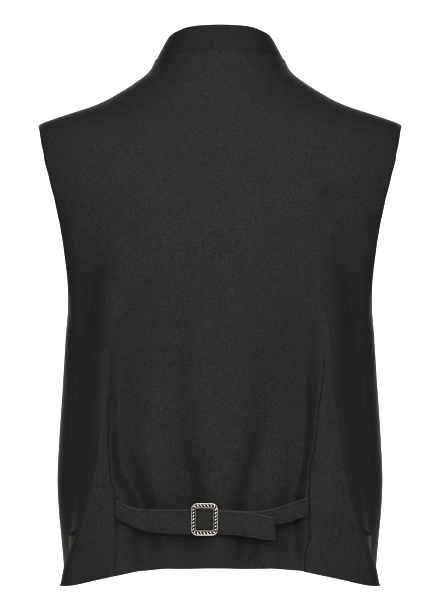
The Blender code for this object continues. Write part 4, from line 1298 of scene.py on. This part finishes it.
def strap_relief(data, across, shares, end=None):
    """How far a strap's face stands out: rolled edges, a swell, and a dip along the stitching."""
    top, bottom = strap_edges(data, across)
    off = np.minimum(shares, 1 - shares) * (top - bottom)
    if end is not None:
        off = np.minimum(off, np.abs(across - end))
    roll = -STRAP_ROLL * bell(off, STRAP_ROLL_WIDTH)
    swell = STRAP_PUFF * ramp(off, *STRAP_PUFF_SPAN)
    dip = -STITCH_DIP * bell(off - STITCH_INSET, STITCH_DIP_WIDTH)
    return roll + swell + dip


def long_strap_points():
    """The long strap, with closer columns at its free end and over the buckle."""
    end = LONG_STRAP_END
    across = np.unique(np.concatenate([
        end + np.array((0, 0.0005, 0.0011, 0.0018, 0.0024, 0.0030, 0.0036, 0.0044)),
        np.linspace(end + 0.0056, 0.004, 42),
        np.linspace(0.004, 0.032, 30),
        np.linspace(0.032, 0.1214, 56)]))
    inner, normal = strap_place(LONG_STRAP, across, STRAP_SHARES)
    relief = strap_relief(LONG_STRAP, across, STRAP_SHARES, end)
    return inner + (STRAP_CLOTH + relief)[..., None] * normal, inner


def short_strap_points():
    """The short strap, from its dart over the centre bar, round it and back underneath."""
    cloth = SHORT_STRAP_CLOTH
    centre = BUCKLE_CENTRE[0]
    run = np.concatenate([np.linspace(-0.1030, -0.012, 52), np.linspace(-0.0107, centre, 20)])
    inner, normal = strap_place(SHORT_STRAP, run, STRAP_SHARES)
    relief = strap_relief(SHORT_STRAP, run, STRAP_SHARES) * (1 - ramp(run, *SHORT_STRAP_FLAT))
    outer = inner + (cloth + relief)[..., None] * normal
    lift = read(SHORT_STRAP, "lift", centre, "across")
    base, heights = inner[:, -1, 1] - lift, inner[:, -1, 2]
    bend = lift - PRONG_LIFT
    around = [(centre + wide * np.sin(angle), PRONG_LIFT + wide * np.cos(angle))
              for angle in np.radians(np.linspace(0, 180, 17))[1:] for wide in (bend, bend + cloth)]
    near, far = STRAP_TAIL
    tail = [(place, PRONG_LIFT - bend - drop)
            for place in np.linspace(centre - near, centre - far, 6)
            for drop in (SEAM_GAP, cloth + SEAM_GAP)]
    turned = np.stack([np.stack([x + 0 * base, base + y, heights], axis=-1)
                       for x, y in around + tail], axis=1)
    return (np.concatenate([outer, turned[:, 1::2]], axis=1),
            np.concatenate([inner, turned[:, ::2]], axis=1))


def stitches(name, points, normals, lift, material):
    """A row of sunken stitches along a line of places."""
    run = starts_of(lengths_along(points))
    pitch = bpy.context.scene.folk_vest.stitch_length
    count = int(run[-1] / pitch)
    spots = np.array((0.1, 0.25, 0.5, 0.75, 0.9))     # along one stitch
    bows = np.array((0.0, 0.7, 1.0, 0.7, 0.0))        # and how far it stands out there
    profile = round_profile(THREAD_RADIUS, 6)
    made = []
    for number in range(count):
        at = (run[-1] - count * pitch) / 2 + pitch * (number + spots)
        centres, out = (np.stack([np.interp(at, run, rows[:, axis]) for axis in range(3)], axis=-1)
                        for rows in (points, normals))
        centres = centres + out * (lift + THREAD_RADIUS * (bows - 0.9))[:, None]
        made.append(swept(name, centres, out, profile, False, material))
    return joined(name, made)


def strap_stitches(name, data, span, across_end=None):
    """Stitches along both edges of a strap, and across its free end."""
    thread = wool_thread()
    made = []
    across = np.linspace(*span, 160)
    top, bottom = strap_edges(data, across)
    inset = STITCH_INSET / (top - bottom)
    for shares in (inset, 1 - inset):
        inner, normal = strap_place(data, across, shares)
        made.append(stitches(name, inner, normal, STRAP_CLOTH, thread))
    if across_end is not None:
        shares = np.linspace(0.12, 0.88, 20)[:, None]
        places = across_end + np.array((-0.001, 0.0, 0.001))
        inner, normal = strap_place(data, places, shares)
        made.append(stitches(name, inner[:, 1], normal[:, 1], STRAP_CLOTH, thread))
    return joined(name, made)


def rub_and_highlight_edges(piece, data, end=None):
    """Makes a strap's edges pale: wear, and a painted highlight that is stronger along the top edge
    than along the bottom one.
    """
    places = np.empty(3 * len(piece.data.vertices), dtype=np.float32)
    piece.data.vertices.foreach_get("co", places)
    across, _, height = places.reshape(-1, 3).T.astype(float)
    top, bottom = strap_edges(data, across)
    above_bottom = height - bottom
    if end is not None:
        above_bottom = np.minimum(above_bottom, np.abs(across - end))
    # The top edge gets the stronger paling, a painted highlight where light would catch it; the
    # bottom edge gets less, where it lies in shade.
    mark_wear_and_highlight(piece.data, TOP_WEAR_AND_HIGHLIGHT * bell(top - height, WEAR_AND_HIGHLIGHT_WIDTH)
         + BOTTOM_WEAR_AND_HIGHLIGHT * bell(above_bottom, WEAR_AND_HIGHLIGHT_WIDTH))


class VEST_OT_belt(VestOperator, bpy.types.Operator):
    """Build the half-belt's two straps with their edge stitching"""
    bl_idname = "vest.belt"
    bl_label = "Half-belt"

    def execute(self, context):
        roll = STRAP_EDGE_ROLL * context.scene.folk_vest.edge_roll
        piece = wall("belt_strap_long", *long_strap_points(), wool(), roll)
        dress(piece, ["belt_long"])
        rub_and_highlight_edges(piece, LONG_STRAP, LONG_STRAP_END)
        piece = wall("belt_strap_short", *short_strap_points(), wool(), roll)
        dress(piece, ["belt_short"])
        rub_and_highlight_edges(piece, SHORT_STRAP)
        sewing = strap_stitches("belt_stitches_long", LONG_STRAP, LONG_STITCHES, LONG_STITCHES[0])
        dress(sewing, [])
        dress(strap_stitches("belt_stitches_short", SHORT_STRAP, SHORT_STITCHES), [])
        return {"FINISHED"}


# ---------------------------------------------------------------- metal
def buckle_loop(offset):
    """Places round the buckle's frame, this far out from the middle of its bars, and their share
    of the way round."""
    corner = BUCKLE_CORNER
    x, z = (half - corner for half in BUCKLE_HALF)
    lengths = [2 * z, corner * math.pi / 2, 2 * x, corner * math.pi / 2] * 2
    starts = starts_of(lengths)
    at = np.arange(BUCKLE_STEPS) / BUCKLE_STEPS * starts[-1]
    centres = np.array(((x, z), (-x, z), (-x, -z), (x, -z)))
    reach = corner + np.broadcast_to(offset, (BUCKLE_STEPS,))
    points = np.zeros((BUCKLE_STEPS, 2))
    for part in range(8):
        side, share = part // 2, (at - starts[part]) / lengths[part]
        here = (share >= 0) & (share < 1)
        turn, centre = math.pi / 2 * side + 0 * share[here], centres[side]
        if part % 2:
            turn = math.pi / 2 * (side + share[here])
        else:
            centre = centres[side - 1] + (centre - centres[side - 1]) * share[here, None]
        points[here] = centre + reach[here, None] * np.stack([np.cos(turn), np.sin(turn)], axis=-1)
    return points, at / starts[-1]


def on_buckle(points, rise):
    """Turns places in the buckle's plane into places on the back."""
    across, height = BUCKLE_CENTRE
    reach = read(SECTIONS, "back_depth", height) + BUCKLE_LIFT
    return np.stack([across + points[:, 0], reach + rise + 0 * points[:, 0],
                     height + points[:, 1]], axis=-1)


def centre_bar(metal):
    """The bar behind the frame, bent forward into its two end bars."""
    across, height = BUCKLE_CENTRE
    reach = read(SECTIONS, "back_depth", height)
    leg = BUCKLE_HALF[1] - PRONG_INSET
    turn = np.radians(np.linspace(0, 90, 9))
    bent = np.stack([PRONG_LIFT + PRONG_BEND * (1 - np.sin(turn)),
                     leg - PRONG_BEND * (1 - np.cos(turn))], axis=-1)
    bent = np.concatenate([[(BUCKLE_LIFT, leg)], bent])
    bent = np.concatenate([bent, bent[::-1] * (1, -1)])
    centres = np.stack([across + 0 * bent[:, 0], reach + bent[:, 0], height + bent[:, 1]], axis=-1)
    sideways = np.tile((1.0, 0.0, 0.0), (len(centres), 1))
    return swept("buckle_part", centres, sideways, round_profile(PRONG_RADIUS, 12), False, metal)


class VEST_OT_buckle(VestOperator, bpy.types.Operator):
    """Build the buckle: a sunk frame, two rims, a rope worked round it, and the centre bar"""
    bl_idname = "vest.buckle"
    bl_label = "Buckle"

    def execute(self, context):
        metal = silver()
        rim_reach = BUCKLE_BAR_HALF_WIDTH - RIM_INSET
        loops = [
            # The plate keeps no wear, so its flank stays dark outside the inset rims: oxide, and a
            # painted shadow outline round the buckle.
            (0.0, 0.0, BUCKLE_PLATE, 0.0),
            (rim_reach - RIM_RADIUS, RIM_RISE, round_profile(RIM_RADIUS, 12), RIM_WEAR),
            (INNER_RIM_RADIUS - rim_reach, INNER_RIM_RISE, round_profile(INNER_RIM_RADIUS, 10),
             INNER_RIM_WEAR),
        ]
        _, share = buckle_loop(0.0)
        for strand in (0, 1):
            phase = math.pi * (strand - ROPE_TURNS * share)
            loops.append((STRAND_SWING * np.sin(phase), STRAND_RISE * np.cos(phase) - STRAND_SINK,
                          round_profile(STRAND_RADIUS, 8), ROPE_WEAR))
        out = np.tile((0.0, 1.0, 0.0), (BUCKLE_STEPS, 1))
        parts, worn = [], []
        for offset, rise, profile, rubbed in loops:
            centres = on_buckle(buckle_loop(offset)[0], rise)
            parts.append(swept("buckle_part", centres, out, profile, True, metal))
            worn.append(rubbed)
        piece = joined("buckle_metal", [*parts, centre_bar(metal)], [*worn, BAR_WEAR])
        dress(piece, ["buckle"])
        return {"FINISHED"}


def button(number, metal):
    """A domed button, spun from its profile, with a twisted ring in the groove round its dome."""
    profile = list(BUTTON_RIM)
    for angle in np.radians(np.linspace(0, 90, 9)):
        profile.append((DOME_RADIUS * math.cos(angle),
                        DOME_FOOT + (BUTTON_HEIGHT - DOME_FOOT) * math.sin(angle)))
    bm = bmesh.new()
    points = [bm.verts.new((radius, 0, rise)) for radius, rise in profile]
    edges = [bm.edges.new(pair) for pair in zip(points, points[1:])]
    bmesh.ops.spin(bm, geom=points + edges, cent=(0, 0, 0), axis=(0, 0, 1), angle=2 * math.pi,
                   steps=48, use_merge=True)
    bmesh.ops.remove_doubles(bm, verts=bm.verts[:], dist=1e-6)
    parts = [new_object("button_part", bm, metal)]
    turn = np.radians(np.linspace(0, 360, 8 * RING_TWISTS, endpoint=False))
    up = np.tile((0.0, 0.0, 1.0), (len(turn), 1))
    for strand in (0, 1):
        phase = RING_TWISTS * turn + strand * math.pi
        radius = RING_RADIUS + RING_SWING * np.cos(phase)
        centres = np.stack([radius * np.cos(turn), radius * np.sin(turn),
                            RING_RISE + RING_SWING * np.sin(phase)], axis=-1)
        parts.append(swept("button_part", centres, up, round_profile(RING_STRAND, 6), True, metal))
    made = joined(f"button_metal_{number + 1}", parts, BUTTON_WEAR)
    for vert, worn in zip(made.data.vertices, made.data.attributes["rubbed"].data):
        off_ring = abs(math.hypot(vert.co.x, vert.co.y) - RING_RADIUS)
        if off_ring < GROOVE_HALF_WIDTH and vert.co.z < GROOVE_TOP:
            worn.value = 0.0
    place = np.array([math.pi]), np.array([BUTTON_TOP - BUTTON_STEP * number])
    seat, normal = body(*place)[0], outward(*place)[0]
    tilt = math.atan2(normal[2], -normal[1])
    made.data.transform(Matrix.Translation(seat + normal * (SEAM_GAP + BUTTON_SEAT))
                        @ Matrix.Rotation(math.radians(90) - tilt, 4, "X"))
    return made


class VEST_OT_buttons(VestOperator, bpy.types.Operator):
    """Build the domed buttons with their rim and rope ring"""
    bl_idname = "vest.buttons"
    bl_label = "Buttons"

    def execute(self, context):
        metal = silver()
        for number in range(BUTTON_COUNT):
            dress(button(number, metal), [f"button_{number + 1}"])
        return {"FINISHED"}


# ---------------------------------------------------------------- small sewing
def buttonhole_loop():
    """Places round a buttonhole's worked edge, across and up."""
    first, last = HOLE_SPAN
    half = HOLE_HALF_WIDTH
    starts = starts_of([last - first, math.pi * half] * 2)
    at = np.arange(HOLE_STEPS) / HOLE_STEPS * starts[-1]
    flat = np.zeros((HOLE_STEPS, 2))
    for part, (centre, sign) in enumerate(((first, 1), (last, 1), (last, -1), (first, -1))):
        here = (at >= starts[part]) & (at < starts[part + 1])
        gone = at[here] - starts[part]
        if part % 2 == 0:
            places = centre + sign * gone, 0 * gone + sign * half
        else:
            places = centre + sign * half * np.sin(gone / half), sign * half * np.cos(gone / half)
        flat[here] = np.stack(places, axis=-1)
    return flat


class VEST_OT_buttonholes(VestOperator, bpy.types.Operator):
    """Build the worked buttonholes on the left front"""
    bl_idname = "vest.buttonholes"
    bl_label = "Buttonholes"

    def execute(self, context):
        thread = wool_thread()
        flat = buttonhole_loop()
        ribs = 1 + HOLE_RIBS * np.sin(np.arange(HOLE_STEPS) * math.pi / 1.5)
        profile = round_profile(HOLE_THREAD, 8, 0.7)[None] * ribs[:, None, None]
        made = []
        for number in range(BUTTON_COUNT):
            heights = BUTTON_TOP - BUTTON_STEP * number + flat[:, 1]
            turns = angle_across(flat[:, 0], heights, behind=False)
            normals = outward(turns, heights)
            centres = body(turns, heights) + HOLE_LIFT * normals
            made.append(swept("buttonhole", centres, normals, profile, True, thread))
        dress(joined("buttonhole_stitches", made), [])
        return {"FINISHED"}


class VEST_OT_facings(VestOperator, bpy.types.Operator):
    """Build the narrow green facings that show in the two side vents"""
    bl_idname = "vest.facings"
    bl_label = "Vent facings"

    def execute(self, context):
        roll = SEAMED_ROLL * context.scene.folk_vest.edge_roll
        rows, columns = FRONT_ROWS[0][2] + 1, len(FACING_COLUMNS)
        for side in ("left", "right"):
            turns, heights, steps = (
                part[:rows, :columns] for part in front_half(side, FACING_COLUMNS))
            steps = steps + EDGE_RISE + SEAM_GAP
            inner, _ = wall_points(turns, heights, steps=steps)
            outer, _ = wall_points(turns, heights, steps=steps + FACING_THICKNESS)
            piece = wall(f"facing_cloth_{side}", outer, inner, trim(), roll)
            dress(piece, [f"vent_facing_{side}"])
        return {"FINISHED"}


# ---------------------------------------------------------------- the stage
def area_light(name, place, target, size, power):
    """A round soft light that shines at its target."""
    data = bpy.data.lights.new(name, "AREA")
    data.shape = "DISK"
    data.size = size
    data.energy = power
    made = bpy.data.objects.new(name, data)
    bpy.context.scene.collection.objects.link(made)
    made.location = place
    made.rotation_euler = (Vector(target) - Vector(place)).to_track_quat("-Z", "Y").to_euler()


class VEST_OT_stage(VestOperator, bpy.types.Operator):
    """Set the floor, the soft lights, the white surroundings and the camera"""
    bl_idname = "vest.stage"
    bl_label = "Stage"

    def execute(self, context):
        scene = context.scene
        scene.view_settings.view_transform = "Standard"
        scene.view_settings.look = "Very High Contrast"

        bm = bmesh.new()
        bmesh.ops.create_circle(bm, cap_ends=True, radius=FLOOR_RADIUS, segments=96)
        bmesh.ops.translate(bm, verts=bm.verts[:], vec=(0, 0, FLOOR_HEIGHT))
        pale, tree, shader = new_material("pale floor")
        feed(tree, shader, {"Base Color": FLOOR_COLOUR, "Roughness": 0.8})
        new_object("floor", bm, pale)

        scene.world = bpy.data.worlds.new("white surroundings")
        scene.world.use_nodes = True
        tree = scene.world.node_tree
        ambient = feed(tree, tree.nodes["Background"], {"Color": WHITE, "Strength": AMBIENT})
        seen = node(tree, "ShaderNodeBackground", {"Color": WHITE, "Strength": 1.0})
        path = node(tree, "ShaderNodeLightPath")
        mix = node(tree, "ShaderNodeMixShader", {
            "Fac": path.outputs["Is Camera Ray"],
            1: ambient.outputs["Background"],
            2: seen.outputs["Background"],
        })
        feed(tree, tree.nodes["World Output"], {"Surface": mix.outputs["Shader"]})

        for name, place, target, size, share in LIGHTS:
            area_light(name, place, target, size, share * scene.folk_vest.key_power)

        data = bpy.data.cameras.new("camera")
        data.sensor_fit = "VERTICAL"
        data.sensor_height = SENSOR_HEIGHT
        data.lens = SENSOR_HEIGHT * CAMERA_DISTANCE / PICTURE_HEIGHT
        camera = bpy.data.objects.new("camera", data)
        scene.collection.objects.link(camera)
        camera.location = (CAMERA_ACROSS, CAMERA_DISTANCE, CAMERA_HEIGHT)
        camera.rotation_euler = (math.radians(90), 0, math.radians(180))
        scene.camera = camera
        return {"FINISHED"}


class VEST_PT_panel(bpy.types.Panel):
    """Lists the vest's pieces and its sizes and colours"""
    bl_idname = "VEST_PT_panel"
    bl_label = "Folk vest"
    bl_space_type = "VIEW_3D"
    bl_region_type = "UI"
    bl_category = "Vest"

    def draw(self, context):
        for operator in OPERATORS:
            self.layout.operator(operator.bl_idname)
        for name in FolkVestSettings.__annotations__:
            self.layout.prop(context.scene.folk_vest, name)


OPERATORS = (
    VEST_OT_back, VEST_OT_fronts, VEST_OT_collar, VEST_OT_belt, VEST_OT_buckle,
    VEST_OT_buttons, VEST_OT_buttonholes, VEST_OT_facings, VEST_OT_stage,
)
CLASSES = (FolkVestSettings, *OPERATORS, VEST_PT_panel)


def register():
    for made in CLASSES:
        bpy.utils.register_class(made)
    bpy.types.Scene.folk_vest = PointerProperty(type=FolkVestSettings)


def unregister():
    del bpy.types.Scene.folk_vest
    for made in reversed(CLASSES):
        bpy.utils.unregister_class(made)


def main():
    """Builds the vest and its stage."""
    register()
    for operator in OPERATORS:
        group, name = operator.bl_idname.split(".")
        getattr(getattr(bpy.ops, group), name)()


if __name__ == "__main__":
    main()
